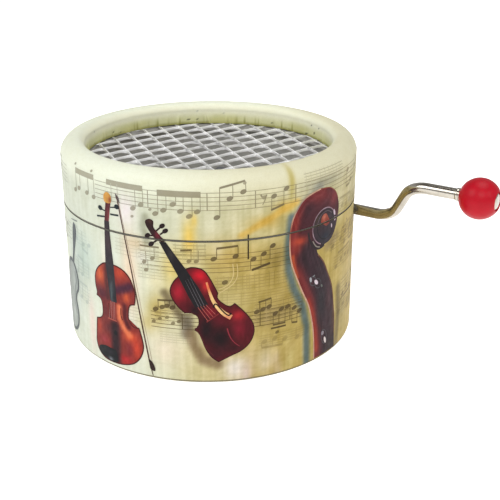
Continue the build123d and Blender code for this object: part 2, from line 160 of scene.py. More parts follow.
WASHES = [
    # u, height, half width, half height, colour, strength
    (-3.5, 26.6, 1.1, 3.0, (226, 190, 84), 0.75),
    (-2.6, 29.6, 0.5, 1.2, (226, 192, 92), 0.6),
    (-6.3, 21.2, 2.0, 3.4, (214, 186, 92), 0.55),
    (-6.8, 15.0, 1.9, 2.6, (208, 182, 96), 0.45),
    (-14.2, 19.0, 1.5, 7.5, (228, 206, 182), 0.85),
    (-14.4, 30.3, 1.7, 2.6, (229, 221, 222), 0.85),
    (-12.6, 24.8, 2.0, 1.2, (214, 192, 160), 0.6),
    (-24.4, 7.0, 1.0, 5.0, (229, 208, 200), 0.7),
    (-26.5, 19.0, 4.0, 5.0, (186, 200, 190), 0.85),
    (-30.0, 14.0, 3.0, 9.0, (190, 198, 192), 0.7),
    (-19.5, 14.0, 0.9, 8.0, (226, 204, 184), 0.6),
    (-11.8, 22.4, 1.2, 1.2, (226, 222, 214), 0.6),
    (-9.4, 18.6, 1.6, 1.5, (228, 220, 186), 0.6),
    (-8.0, 6.0, 3.2, 3.2, (226, 216, 196), 0.9),
    (-2.2, 2.4, 3.0, 2.4, (202, 192, 152), 0.7),
    (3.8, 2.8, 2.4, 3.0, (220, 213, 206), 0.95),
    (-9.4, 13.2, 1.9, 3.0, (186, 166, 98), 0.85),
    (-11.2, 10.6, 1.6, 2.0, (200, 184, 130), 0.7),
    (0.4, 18.6, 1.4, 3.4, (176, 158, 94), 0.6),
    (6.9, 3.6, 1.0, 3.4, (190, 172, 130), 0.7),
    (9.2, 3.4, 1.6, 3.0, (204, 192, 166), 0.85),
    (13.8, 3.0, 1.3, 4.0, (196, 184, 132), 0.7),
    (1.6, 6.0, 5.0, 1.4, (196, 178, 128), 0.6),
    (5.8, 1.4, 0.9, 2.6, (206, 188, 184), 0.7),
    (11.4, 1.8, 0.9, 2.6, (208, 192, 186), 0.7),
    (3.0, 23.0, 4.2, 3.0, (188, 160, 88), 0.6),
    (1.0, 24.6, 1.0, 1.4, (226, 216, 190), 0.5),
    (7.5, 19.5, 5.0, 3.0, (184, 164, 98), 0.5),
    (11.6, 16.0, 3.0, 4.0, (180, 160, 96), 0.6),
    (10.5, 11.6, 4.0, 2.0, (156, 138, 98), 0.55),
    (11.5, 22.2, 2.2, 2.6, (150, 132, 80), 0.6),
    (9.8, 28.6, 3.6, 1.2, (196, 164, 82), 0.7),
    (12.6, 30.6, 1.8, 1.1, (206, 168, 68), 0.75),
    (12.4, 28.2, 1.4, 2.2, (158, 150, 98), 0.6),
    (13.9, 34.6, 0.6, 3.4, (186, 170, 92), 0.75),
    (21.0, 33.2, 4.5, 1.0, (160, 158, 140), 0.7),
    (28.6, 24.0, 1.2, 6.0, (186, 164, 96), 0.5),
    (31.0, 14.0, 1.2, 9.0, (188, 160, 84), 0.55),
    (27.8, 30.2, 1.0, 3.0, (206, 198, 164), 0.6),
    (29.6, 8.0, 1.5, 6.0, (160, 150, 112), 0.6),
    (34.6, 20.0, 1.8, 9.0, (196, 182, 124), 0.6),
    (32.0, 12.0, 5.0, 14.0, (212, 196, 150), 0.6),
    (46.0, 10.0, 5.0, 6.0, (206, 190, 134), 0.7),
    (57.0, 24.0, 4.0, 5.0, (214, 178, 96), 0.6),
    (70.0, 12.0, 6.0, 8.0, (224, 208, 186), 0.8),
    (-78.0, 22.0, 5.0, 7.0, (206, 198, 150), 0.7),
    (-62.0, 8.0, 6.0, 5.0, (212, 190, 120), 0.7),
    (-50.0, 22.0, 4.0, 7.0, (228, 210, 188), 0.8),
    (-42.0, 7.0, 4.0, 5.0, (204, 212, 206), 0.8),
]
SHADOW_STROKES = [
    # line, half width, colour, strength
    ([(13.9, 28.6), (13.4, 24.0), (13.5, 19.5), (14.6, 15.8), (16.6, 12.0), (17.6, 8.0), (17.9, 0)],
     0.6, (92, 110, 114), 0.9),
    ([(14.3, 28.0), (17.0, 31.0), (20.0, 32.6)], 0.7, (128, 132, 128), 0.5),
    ([(-7.9, 16.6), (-5.6, 13.2), (-4.0, 10.6)], 0.6, (112, 100, 76), 0.75),
    ([(-4.0, 12.0), (-4.4, 9.4)], 0.7, (118, 110, 96), 0.75),
    ([(-3.6, 9.4), (-3.0, 7.2), (-1.6, 4.6), (0.8, 3.8)], 0.75, (132, 112, 84), 0.8),
    ([(-10.9, 29.6), (-11.3, 28.0), (-10.7, 25.4)], 0.5, (150, 150, 130), 0.6),
    ([(26.6, 0), (27.2, 6.0), (27.0, 12.0)], 0.7, (120, 108, 80), 0.6),
    ([(22.6, 21.4), (25.4, 22.6)], 0.7, (146, 130, 96), 0.6),
    ([(5.0, 26.8), (8.2, 28.4), (12.0, 30.2), (15.0, 31.2)], 0.45, (208, 172, 84), 0.7),
    ([(10.6, 1.0), (13.6, 4.4), (16.0, 7.4)], 0.7, (178, 158, 96), 0.5),
]


def over_patches(tone, u, s, patches):
    """A tone with soft round patches (u, s, half width, half height, colour, strength) laid over it."""
    for u0, s0, ru, rs, colour, strength in patches:
        tone = mix(tone, colour, strength * near(u, s, u0, s0, ru, rs))
    return tone


def over_strokes(tone, u, s, strokes):
    """A tone with soft-edged strokes (line, half width, colour, strength) laid over it."""
    for line, half, colour, strength in strokes:
        reach = off_line(u, s, line)
        if reach < 3 * half:
            tone = mix(tone, colour, strength * (1 - ramp(0.3 * half, 2.2 * half, reach)))
    return tone


def ground(u, s):
    """Broad tone of the paper: pale green-white on the left, ochre on the right, cream at the rim."""
    warm = ramp(-17, 12, u) * (1 - ramp(52, 78, u))
    wall = mix((216, 220, 206), (184, 165, 100), warm)
    lid = mix((208, 212, 197), (202, 195, 158), warm)
    rim = mix((235, 238, 222), (225, 222, 197), warm)
    tone = mix(wall, lid, ramp(22, 29, s))
    return mix(tone, rim, ramp(31, 36.5, s))


def wash(u, s):
    """Colour of the bare printed paper, out of 255."""
    tone = over_patches(ground(u, s), u, s, WASHES)
    tone = over_strokes(tone, u, s, SHADOW_STROKES)
    calm = 1 - ramp(32, 36, s)
    warm = 0.45 + 0.55 * ramp(-14, 8, u)
    streak = grain(u * 1.5, s * 0.12, 4.0) * 16
    rule = grain(u * 0.5, s * 1.7, 2.0) * 8
    cloud = grain(u * 0.35, s * 0.3, 9.0) * 10
    fleck = grain(u * 3.1, s * 2.3, 6.0) * 7
    change = (streak + rule + cloud + fleck) * calm * warm
    return tone[0] + change, tone[1] + change, tone[2] + 1.25 * change


def inner_wall_tone(angle, depth):
    """Colour of the paper turned down inside the rim, depth from 0 at the rim to 1 at the mesh, with painted light
    and shade.
    """
    # Painted light and shade: near white at the rim, darkening and turning olive towards the mesh.
    tone = mix((255, 255, 234), (224, 224, 180), ramp(0.05, 0.75, depth))
    tone = mix(tone, (160, 158, 96), 0.85 * ramp(0.72, 1.0, depth))
    cloud = noise.noise(polar(3.2, angle, depth))
    tone = mix(tone, (212, 210, 150), 0.55 * ramp(0.05, 0.5, cloud) * ramp(0.1, 0.8, depth))
    # Painted shade along crease lines in the wall.
    crease = noise.noise(polar(34, angle, 1.0))
    tone = mix(tone, (150, 148, 84), 0.8 * ramp(0.42, 0.62, abs(crease)) * ramp(0.25, 0.95, depth))
    scuff = noise.noise(polar(22, angle, 5.2 * depth))
    return mix(tone, (74, 76, 60), 0.75 * ramp(0.60, 0.72, scuff))


def pleat(angle, depth):
    """How far the paper stands off the inside wall: narrow folds that fade out towards the rim."""
    fold = noise.noise(polar(30, angle, 1.0))
    fine = noise.noise(polar(75, angle, 5.0))
    crest = max(abs(fold) - 0.28, 0.0) * 0.9 + 0.05 * fine
    return crest * ramp(0.1, 0.9, depth)


# ------------------------------------------------------------ mesh helpers


def new_object(name, verts, faces, body, material, smooth=35):
    """A mesh object from points in millimetres, riding on a body."""
    data = bpy.data.meshes.new(name)
    data.from_pydata([tuple(c * MM for c in v) for v in verts], [], faces)
    data.update()
    return place(bpy.data.objects.new(name, data), body, material, smooth)


def finish_faces(obj, material, smooth):
    """Smooth shading up to an angle in degrees, and one material."""
    obj.data.shade_smooth()
    obj.data.set_sharp_from_angle(angle=math.radians(smooth))
    obj.data.materials.clear()
    obj.data.materials.append(material)


def place(obj, body, material, smooth=35):
    """Links an object, finishes it and lets it ride."""
    bpy.context.scene.collection.objects.link(obj)
    finish_faces(obj, material, smooth)
    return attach(obj, body)


def fix_normals(obj):
    """Turns the faces outwards."""
    made = bmesh.new()
    made.from_mesh(obj.data)
    bmesh.ops.recalc_face_normals(made, faces=made.faces)
    made.to_mesh(obj.data)
    made.free()


def mesh_from(made, name):
    """Mesh data from a bmesh, which is freed."""
    data = bpy.data.meshes.new(name)
    made.to_mesh(data)
    made.free()
    return data


def cut_plane(made, at, normal, clear=False):
    """Cuts a bmesh along a plane, and clears what lies beyond it if asked."""
    parts = list(made.verts) + list(made.edges) + list(made.faces)
    bmesh.ops.bisect_plane(made, geom=parts, plane_co=at, plane_no=normal, clear_outer=clear)


def paint_points(data, name, colours):
    """Stores one linear colour per vertex."""
    layer = data.color_attributes.new(name, "FLOAT_COLOR", "POINT")
    layer.data.foreach_set("color", [c for colour in colours for c in colour])


def apply_modifiers(obj):
    """Swaps the object's mesh for its evaluated mesh."""
    graph = bpy.context.evaluated_depsgraph_get()
    made = bpy.data.meshes.new_from_object(obj.evaluated_get(graph))
    obj.modifiers.clear()
    obj.data = made


def revolve(rows, point):
    """Vertices and faces of a closed section of some rows turned about Z; point(angle, row) places each."""
    verts, faces = [], []
    for i in range(WRAP_STEPS):
        verts += [point(2 * math.pi * i / WRAP_STEPS, k) for k in range(rows)]
        j = (i + 1) % WRAP_STEPS
        for k in range(rows):
            m = (k + 1) % rows
            faces.append((i * rows + k, j * rows + k, j * rows + m, i * rows + m))
    return verts, faces


# --------------------------------------------------------------- materials


class Nodes:
    """A short way to write a material's node tree."""

    def __init__(self, name):
        self.material = bpy.data.materials.new(name)
        self.material.use_nodes = True
        self.tree = self.material.node_tree
        self.shader = self.tree.nodes["Principled BSDF"]

    def add(self, kind, **inputs):
        node = self.tree.nodes.new(kind)
        for key, value in inputs.items():
            self.put(node, key, value)
        return node

    def put(self, node, key, value):
        socket = node.inputs[int(key[1:])] if key[0] == "i" and key[1:].isdigit() else node.inputs[key]
        if isinstance(value, bpy.types.NodeSocket):
            self.tree.links.new(value, socket)
        else:
            socket.default_value = value

    def coords(self, stretch=(1, 1, 1)):
        place_node = self.add("ShaderNodeTexCoord")
        mapping = self.add("ShaderNodeMapping", Vector=place_node.outputs["Object"], Scale=stretch)
        return mapping.outputs[0]

    def noise(self, where, scale, detail=3.0, rough=0.5):
        node = self.add("ShaderNodeTexNoise", Vector=where, Scale=scale, Detail=detail, Roughness=rough)
        return node.outputs["Fac"]

    def span(self, value, low, high, start=0.3, end=0.7):
        node = self.add("ShaderNodeMapRange", Value=value)
        for key, number in (("From Min", start), ("From Max", end), ("To Min", low), ("To Max", high)):
            node.inputs[key].default_value = number
        return node.outputs[0]

    def blend(self, factor, a, b, how="MIX"):
        node = self.tree.nodes.new("ShaderNodeMix")
        node.data_type = "RGBA"
        node.blend_type = how
        self.put(node, "i0", factor)
        self.put(node, "i6", a)
        self.put(node, "i7", b)
        return node.outputs[2]

    def bump(self, height, strength, distance, after=None):
        node = self.add("ShaderNodeBump", Height=height, Strength=strength, Distance=distance)
        if after:
            self.put(node, "Normal", after)
        return node.outputs[0]

    def finish(self, **inputs):
        for key, value in inputs.items():
            self.put(self.shader, key.replace("_", " "), value)
        return self.material


def surface(name, light, dark, scale, rough, bump, stretch=(1, 1, 1), metallic=0.0, fine=6.0, **fixed):
    """A mottled surface: colour between two tones, roughness between two values, fine bump."""
    n = Nodes(name)
    where = n.coords(stretch)
    broad = n.noise(where, scale, 4)
    grain = n.noise(where, scale * fine, 3, 0.6)
    tone = n.blend(n.span(broad, 0, 1), linear(dark), linear(light))
    tone = n.blend(0.25, tone, n.blend(n.span(grain, 0, 1), linear(dark), linear(light)))
    normal = n.bump(grain, 0.6, bump * MM, n.bump(broad, 0.4, 2 * bump * MM))
    return n.finish(
        Base_Color=tone,
        Roughness=n.span(grain, rough[0], rough[1]),
        Normal=normal,
        Metallic=metallic,
        **fixed,
    )


def printed(name, attribute, gloss, grain_bump):
    """Coated paper: the printed colour from the vertices, with fibre mottle, fine grain and a soft coat."""
    n = Nodes(name)
    where = n.coords()
    colour = n.add("ShaderNodeAttribute")
    colour.attribute_name = attribute
    deep = n.add("ShaderNodeGamma", Color=colour.outputs["Color"], Gamma=1.2)
    fibre = n.noise(where, 900, 5, 0.6)
    grain = n.noise(where, 5200, 2)
    tone = n.blend(n.span(fibre, 0, 0.35), deep.outputs[0], linear((246, 244, 232)), "MULTIPLY")
    tone = n.blend(n.span(grain, 0.0, 0.10, 0.45, 0.8), tone, linear((150, 140, 110)), "MULTIPLY")
    normal = n.bump(grain, 0.25, grain_bump * MM, n.bump(n.noise(where, 260, 3), 0.5, 0.05 * MM))
    return n.finish(
        Base_Color=tone,
        Roughness=n.span(fibre, gloss[0], gloss[1]),
        Normal=normal,
        Specular_IOR_Level=0.15,
        Coat_Weight=0.03,
        Coat_Roughness=0.3,
    )


def make_materials():
    made = {
        "paper": printed("coated_paper", "print", (0.48, 0.64), 0.012),
        "ink": printed("printed_ink", "print", (0.44, 0.6), 0.010),
        "card": surface("grey_card", (206, 204, 199), (178, 176, 170), 700, (0.8, 0.95), 0.03,
                        (1, 1, 3), Specular_IOR_Level=0.2),
        "label": surface("label_paper", (226, 222, 204), (204, 198, 176), 600, (0.65, 0.85), 0.015,
                         Specular_IOR_Level=0.25),
        "mesh": surface("expanded_aluminium", (254, 254, 254), (236, 236, 236), 900, (0.34, 0.5), 0.012,
                        metallic=0.25),
        "zinc": surface("cast_zinc", (150, 152, 156), (110, 112, 118), 800, (0.42, 0.66), 0.02,
                        metallic=0.7),
        "steel": surface("plated_steel", (196, 196, 198), (150, 150, 154), 1500, (0.2, 0.4), 0.006,
                         metallic=1.0),
        "comb": surface("ground_comb_steel", (206, 208, 210), (160, 162, 166), 700, (0.18, 0.36), 0.006,
                        (1, 9, 1), metallic=1.0),
        "lead": surface("lead_alloy", (104, 104, 110), (72, 72, 78), 900, (0.5, 0.7), 0.02, metallic=0.7),
        "brass": surface("turned_brass", (222, 184, 104), (176, 136, 66), 900, (0.18, 0.34), 0.008,
                         (1, 6, 1), metallic=1.0),
        "resin": surface("drum_resin", (118, 78, 40), (84, 52, 26), 900, (0.4, 0.6), 0.02),
        "plastic": surface("moulded_acetal", (222, 220, 208), (198, 194, 180), 500, (0.32, 0.48), 0.01,
                           Subsurface_Weight=0.1, Subsurface_Scale=0.001),
        "nickel": surface("bright_nickel", (206, 200, 190), (172, 165, 152), 420, (0.08, 0.18), 0.004,
                          metallic=1.0, fine=14),
        "ball": surface("polished_red_plastic", (186, 1, 30), (168, 1, 24), 260, (0.36, 0.46), 0.004,
                        fine=12, Specular_IOR_Level=0.2, Coat_Weight=0.05, Coat_Roughness=0.2,
                        Subsurface_Weight=0.08, Subsurface_Scale=0.0012),
        "floor": surface("pale_floor", (250, 250, 250), (247, 247, 247), 12, (0.6, 0.8), 0.004,
                         Specular_IOR_Level=0.2, Emission_Color=(1, 1, 1, 1), Emission_Strength=0.6),
    }
    return made


SLOT_MATERIALS = {
    "label_paper": "label", "card": "card", "mesh_metal": "mesh", "die_cast_zinc": "zinc",
    "steel": "steel", "comb_steel": "comb", "lead_weight": "lead", "brass": "brass",
    "drum_resin": "resin", "wheel_plastic": "plastic", "plated_wire": "nickel", "red_ball": "ball",
    "printed_paper": "paper",
}


def dress_cad_nodes(materials):
    """Gives every CAD node that stays its slot's finish."""
    slots = {part["node"]: part["material_slot"] for part in frame["record"]["subparts"]}
    for name, obj in NODES.items():
        obj.data.materials.clear()
        obj.data.materials.append(materials[SLOT_MATERIALS[slots[name]]])


# --------------------------------------------------------------- the wraps


def lower_section():
    """Half section of the lower wrap as (path height, r offset) rows, outside first."""
    tuck = 0.35
    rows = [(WALL_FOOT, -0.22), (WALL_FOOT + 0.1, -0.07), (WALL_FOOT + tuck, 0.0)]
    steps = 76
    rows += [(WALL_FOOT + tuck + (SEAM_Z - WALL_FOOT - tuck) * k / steps, 0.0) for k in range(1, steps)]
    return rows + [(SEAM_Z - 0.1, 0.0), (SEAM_Z - 0.04, -0.02), (SEAM_Z, -0.08)]


def arc_u(x, y):
    """Arc position of a point from its plan position."""
    turn = (math.atan2(y, x) - FRONT + math.pi) % (2 * math.pi) - math.pi
    return turn * BOX_R


def lower_tone(x, y, z):
    """Colour of the lower wrap: printed outside, bare inside, darker round the hole and along the foot, with
    painted shade along the seam.
    """
    tone = wash(arc_u(x, y), z)
    if math.hypot(x, y) < PAPER_R - 0.1:
        tone = BARE_PAPER
    edge = math.hypot(y - CRANK_AXIS.y, z - CRANK_AXIS.z) - HOLE_R if x > 0 else 9.0
    tone = mix((150, 138, 100), tone, ramp(0.0, 0.5, edge))
    tone = mix((96, 88, 60), tone, ramp(WALL_FOOT + 0.05, WALL_FOOT + 0.3, z))
    # Painted shade along the seam, at the wrap's top edge.
    return mix(tone, SEAM_SHADE, 0.9 * ramp(SEAM_Z - 0.09, SEAM_Z - 0.03, z))


def make_lower_wrap(materials):
    rows = lower_section()
    inner_r = BOX_R - PAPER_T

    def point(angle, k):
        if k < len(rows):
            height, inset = rows[k]
            return paper_point(arc_u(math.cos(angle), math.sin(angle)), height, inset)
        return polar(inner_r, angle, SEAM_Z if k == len(rows) else WALL_FOOT)

    verts, faces = revolve(len(rows) + 2, point)
    obj = new_object("lower_wrap_paper", verts, faces, "base", materials["paper"])
    fix_normals(obj)
    cutter = crank_hole_cutter()
    cut = obj.modifiers.new("hole", "BOOLEAN")
    cut.operation, cut.object, cut.solver = "DIFFERENCE", cutter, "EXACT"
    apply_modifiers(obj)
    bpy.data.objects.remove(cutter)
    finish_faces(obj, materials["paper"], 35)
    colours = [linear(lower_tone(*(c / MM for c in v.co))) for v in obj.data.vertices]
    paint_points(obj.data, "print", colours)
    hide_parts("lower_wrap")


def crank_hole_cutter():
    made = bmesh.new()
    bmesh.ops.create_cone(
        made, cap_ends=True, segments=48, radius1=HOLE_R * MM, radius2=HOLE_R * MM, depth=8 * MM
    )
    turn = Matrix.Rotation(HALF_TURN, 4, "Y")
    where = Matrix.Translation(Vector((BOX_R - 2.5, CRANK_AXIS.y, CRANK_AXIS.z)) * MM)
    bmesh.ops.transform(made, matrix=where @ turn, verts=made.verts)
    obj = bpy.data.objects.new("hole_cutter", mesh_from(made, "hole_cutter"))
    bpy.context.scene.collection.objects.link(obj)
    bpy.context.view_layer.update()
    return obj


def lid_section():
    """The lid's wrap as (kind, place, lift) rows: up the outside, over the crest, down the inside."""
    rows = [("out", LID_FOOT, -0.08), ("out", LID_FOOT + 0.04, -0.02), ("out", LID_FOOT + 0.1, 0.0)]
    wall_steps, round_steps, inner_steps = 28, 16, 12
    rise = ROUND_START - LID_FOOT
    rows += [("out", LID_FOOT + rise * k / wall_steps, 0.0) for k in range(1, wall_steps + 1)]
    arc = OUTER_ROUND * HALF_TURN
    rows += [("out", ROUND_START + arc * k / round_steps, 0.0) for k in range(1, round_steps + 1)]
    rows += [("turn", HALF_TURN * k / inner_steps, 0.0) for k in range(inner_steps + 1)]
    return rows + [("wall", INNER_DROP * k / inner_steps, 0.0) for k in range(1, inner_steps + 1)]


def lid_point(row, angle, inset):
    """A point of the lid's wrap, inset below its face."""
    kind, where, lift = row
    if kind == "out":
        return paper_point(arc_u(math.cos(angle), math.sin(angle)), where, lift - inset)
    bend_r = INNER_ROUND - inset
    centre_r, centre_z = RIM_R + INNER_ROUND, BOX_TOP - INNER_ROUND - SKIN
    if kind == "turn":
        wave = 0.035 * noise.noise(polar(2.4, angle, 6.0))
        return polar(centre_r - bend_r * math.sin(where), angle, centre_z + bend_r * math.cos(where) + wave)
    if inset:
        r = RIM_R + inset
    else:
        r = RIM_R + 0.06 - min(pleat(angle, where / INNER_DROP), 0.22)
    return polar(r, angle, max(centre_z - where, MESH_TOP - 0.02))


def lid_tone(row, angle):
    kind, where, _ = row
    u = arc_u(math.cos(angle), math.sin(angle))
    if kind == "out":
        tone = wash(u, where)
        # Painted shade along the seam, at the lid's lower edge.
        return mix(SEAM_SHADE, tone, ramp(LID_FOOT + 0.03, LID_FOOT + 0.12, where))
    if kind == "turn":
        # The crest blends into the painted light at the top of the inside wall.
        return mix(wash(u, BOX_TOP + 2), inner_wall_tone(angle, 0.0), ramp(0.2, 1.4, where))
    return inner_wall_tone(angle, where / INNER_DROP)


def make_lid_wrap(materials):
    rows = lid_section()
    back = [row for row in reversed(rows) if row[0] != "wall" or row[1] > 0.5]

    def point(angle, k):
        if k < len(rows):
            return lid_point(rows[k], angle, 0.0)
        return lid_point(back[k - len(rows)], angle, PAPER_T * 0.6)

    verts, faces = revolve(len(rows) + len(back), point)
    obj = new_object("lid_wrap_paper", verts, faces, "lid", materials["paper"])
    fix_normals(obj)
    colours = []
    for i in range(WRAP_STEPS):
        colours += [linear(lid_tone(row, 2 * math.pi * i / WRAP_STEPS)) for row in rows]
        colours += [linear((190, 182, 156))] * len(back)
    paint_points(obj.data, "print", colours)
    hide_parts("lid_wrap")


# ------------------------------------------------------------ printed artwork


class Print:
    """Thin printed shapes in the paper's own plane: arc u, height s, lift off the paper."""

    def __init__(self):
        self.verts, self.faces, self.colours = [], [], []

    def add(self, points, faces, lift, paint):
        start = len(self.verts)
        for u, s in points:
            self.verts.append((u, s, lift))
            self.colours.append(linear(paint(u, s)))
        self.faces += [tuple(start + i for i in face) for face in faces]

    def shape(self, outline, lift, paint, step=0.5):
        """A filled outline, cut on a grid so that it bends with the paper and takes smooth colour."""
        made = bmesh.new()
        made.faces.new([made.verts.new((u, s, 0)) for u, s in outline])
        bmesh.ops.triangulate(made, faces=made.faces)
        for axis in (0, 1):
            low = min(p[axis] for p in outline)
            high = max(p[axis] for p in outline)
            along = Vector((1, 0, 0)) if axis == 0 else Vector((0, 1, 0))
            for k in range(math.floor(low / step) + 1, math.ceil(high / step)):
                cut_plane(made, along * step * k, along)
        made.verts.index_update()
        faces = [[v.index for v in face.verts] for face in made.faces]
        self.add([v.co[:2] for v in made.verts], faces, lift, paint)
        made.free()

    def patch(self, outline, lift, paint):
        """A small filled outline, too small to need cutting."""
        self.add(outline, [range(len(outline))], lift, paint)

    def line(self, points, width, lift, paint, step=0.7):
        """A ribbon along a polyline; width is one number or one for each end."""
        w0, w1 = width if isinstance(width, tuple) else (width, width)
        run = []
        for a, b in zip(points, points[1:]):
            cuts = max(1, math.ceil(math.dist(a, b) / step))
            run += [mix(a, b, k / cuts) for k in range(cuts)]
        run.append(tuple(points[-1]))
        sides = []
        for i, p in enumerate(run):
            a, b = run[max(i - 1, 0)], run[min(i + 1, len(run) - 1)]
            length = max(math.dist(a, b), 1e-6)
            half = (w0 + (w1 - w0) * i / max(len(run) - 1, 1)) / 2
            nu, ns = -(b[1] - a[1]) / length * half, (b[0] - a[0]) / length * half
            sides += [(p[0] + nu, p[1] + ns), (p[0] - nu, p[1] - ns)]
        faces = [(2 * i, 2 * i + 1, 2 * i + 3, 2 * i + 2) for i in range(len(run) - 1)]
        self.add(sides, faces, lift, paint)

    def build(self, name, body, materials):
        """The shapes on one side of the seam, laid on the paper, as one object."""
        made = bmesh.new()
        layer = made.verts.layers.float_color.new("print")
        points = []
        for where, colour in zip(self.verts, self.colours):
            v = made.verts.new(where)
            v[layer] = colour
            points.append(v)
        for face in self.faces:
            made.faces.new([points[i] for i in face])
        low, high = (LID_FOOT + 0.05, 1e3) if body == "lid" else (WALL_FOOT + 0.36, SEAM_Z - 0.05)
        cut_plane(made, (0, low, 0), (0, -1, 0), True)
        cut_plane(made, (0, high, 0), (0, 1, 0), True)
        if not made.faces:
            made.free()
            return
        if body == "lid":
            for k in range(ROUND_CUTS):
                cut_plane(made, (0, ROUND_START + CUT_STEP * k, 0), (0, 1, 0))
        for v in made.verts:
            v.co = paper_point(v.co.x, v.co.y, v.co.z) * MM
        made.normal_update()
        for face in made.faces:
            centre = face.calc_center_median()
            if face.normal.dot(Vector((centre.x, centre.y, 0))) < 0:
                face.normal_flip()
        obj = bpy.data.objects.new(name, mesh_from(made, name))
        place(obj, body, materials["ink"], 60)


def loop(points, steps=5):
    """A closed smooth outline through points; a third value of 0 makes that point a corner."""
    n = len(points)
    tangents = []
    for i, p in enumerate(points):
        a, b = points[i - 1], points[(i + 1) % n]
        share = (p[2] if len(p) > 2 else 1.0) * 0.5
        tangents.append(((b[0] - a[0]) * share, (b[1] - a[1]) * share))
    out = []
    for i, p in enumerate(points):
        q = points[(i + 1) % n]
        tp, tq = tangents[i], tangents[(i + 1) % n]
        for k in range(steps):
            t = k / steps
            h = (2 * t**3 - 3 * t**2 + 1, t**3 - 2 * t**2 + t, 3 * t**2 - 2 * t**3, t**3 - t**2)
            out.append(tuple(h[0] * p[c] + h[1] * tp[c] + h[2] * q[c] + h[3] * tq[c] for c in (0, 1)))
    return out


def curve(points, steps=6):
    """A smooth open line through points."""
    closed = loop([(*points[0][:2], 0)] + [p for p in points[1:-1]] + [(*points[-1][:2], 0)], steps)
    return closed[: (len(points) - 1) * steps + 1]


def ellipse(u, s, ru, rs, turn=0.0, count=16):
    c, d = math.cos(math.radians(turn)), math.sin(math.radians(turn))
    out = []
    for k in range(count):
        a = 2 * math.pi * k / count
        x, y = ru * math.cos(a), rs * math.sin(a)
        out.append((u + x * c - y * d, s + x * d + y * c))
    return out


def flat(colour):
    return lambda u, s: colour


def stain(colour, strength):
    """Ink that lets the paper's own tone through."""
    return lambda u, s: mix(wash(u, s), colour, strength)


def shaded(base, patches, brush=10.0, seed=0.0, strokes=()):
    """Painted tone: a base with soft patches (u, s, ru, rs, colour, strength), strokes and brush marks."""

    def paint(u, s):
        tone = over_strokes(over_patches(base, u, s, patches), u, s, strokes)
        mark = grain(u * 2.6, s * 1.1, seed) * brush
        fleck = grain(u * 7, s * 7, seed + 3) * brush * 0.4
        return tuple(c + mark + fleck for c in tone)

    return paint


# ------------------------------------------------------------- written music

NOTE_INK = (104, 94, 74)
LIFT_STAFF, LIFT_NOTE, LIFT_BODY, LIFT_DETAIL, LIFT_TOP = 0.016, 0.024, 0.034, 0.044, 0.054


def staff(art, u0, u1, top, bottom, strength, ink=NOTE_INK, width=0.11):
    for k in range(5):
        s = top + (bottom - top) * k / 4
        art.line([(u0, s), (u1, s)], width, LIFT_STAFF, stain(ink, strength), 1.0)


def bars(art, rng, u0, u1, top, bottom, strength, ink):
    """Fine upright lines across a row, unevenly spaced, as on an old copied score."""
    u = u0 + 0.4
    while u < u1:
        tone = stain(ink, strength * rng.uniform(0.4, 1))
        art.line([(u, bottom - 0.3), (u, top + 0.3)], 0.1, LIFT_STAFF, tone, 2.0)
        u += rng.uniform(0.5, 1.3)


def note_head(art, u, s, strength, ink=NOTE_INK, size=0.55):
    art.patch(ellipse(u, s, size, size * 0.72, 24, 12), LIFT_NOTE, stain(ink, strength))


def stem(art, u, s0, s1, strength, ink=NOTE_INK, width=0.11):
    art.line([(u, s0), (u, s1)], width, LIFT_NOTE, stain(ink, strength), 3.0)


def beam(art, a, b, strength, ink=NOTE_INK, width=0.8):
    art.line([a, b], width, LIFT_NOTE, stain(ink, strength), 0.8)


def beamed_notes(art, heads, bar, strength, ink=NOTE_INK, width=0.8):
    """Heads joined by stems to a beam given by its two ends."""
    (u0, s0), (u1, s1) = bar
    beam(art, (u0, s0), (u1, s1), strength, ink, width)
    for u, s in heads:
        side = 0.5 if s0 > s else -0.5
        at = min(max(u + side, min(u0, u1)), max(u0, u1))
        end = s0 + (s1 - s0) * (at - u0) / (u1 - u0)
        note_head(art, u, s, strength, ink)
        stem(art, at, s, end, strength, ink)


def phrase(art, rng, u0, u1, top, bottom, strength, ink=NOTE_INK):
    """Generic written music from u0 to u1: beamed groups, single notes and bar lines."""
    gap = (top - bottom) / 4
    u = u0 + 1.0
    while u < u1 - 3.5:
        count = rng.choice((1, 2, 2, 3, 4))
        pitch = 1.7 + rng.random() * 0.6
        rise = rng.uniform(-0.5, 0.5)
        up = rng.random() < 0.6
        lines = [rng.choice((0, 0.5, 1, 1.5, 2, 2.5, 3)) for _ in range(count)]
        heads = [(u + k * pitch, bottom + gap * line) for k, line in enumerate(lines)]
        heads = [(a, b) for a, b in heads if a < u1 - 0.8]
        side = 0.5 if up else -0.5
        level = (top + gap * 0.9) if up else (bottom - gap * 0.9)
        if len(heads) > 1:
            bar = ((heads[0][0] + side, level), (heads[-1][0] + side, level + rise))
            beamed_notes(art, heads, bar, strength, ink, 0.42)
        elif heads:
            note_head(art, *heads[0], strength, ink)
            stem(art, heads[0][0] + side, heads[0][1], level, strength, ink)
            if up:
                a = (heads[0][0] + side, level)
                art.line([a, (a[0] + 0.6, a[1] - 0.7), (a[0] + 0.5, a[1] - 1.4)], (0.25, 0.1), LIFT_NOTE,
                         stain(ink, strength))
        u += count * pitch + rng.uniform(0.5, 1.2)
        if rng.random() < 0.45 and u < u1 - 1:
            stem(art, u - 0.3, bottom, top, strength, ink, 0.13)


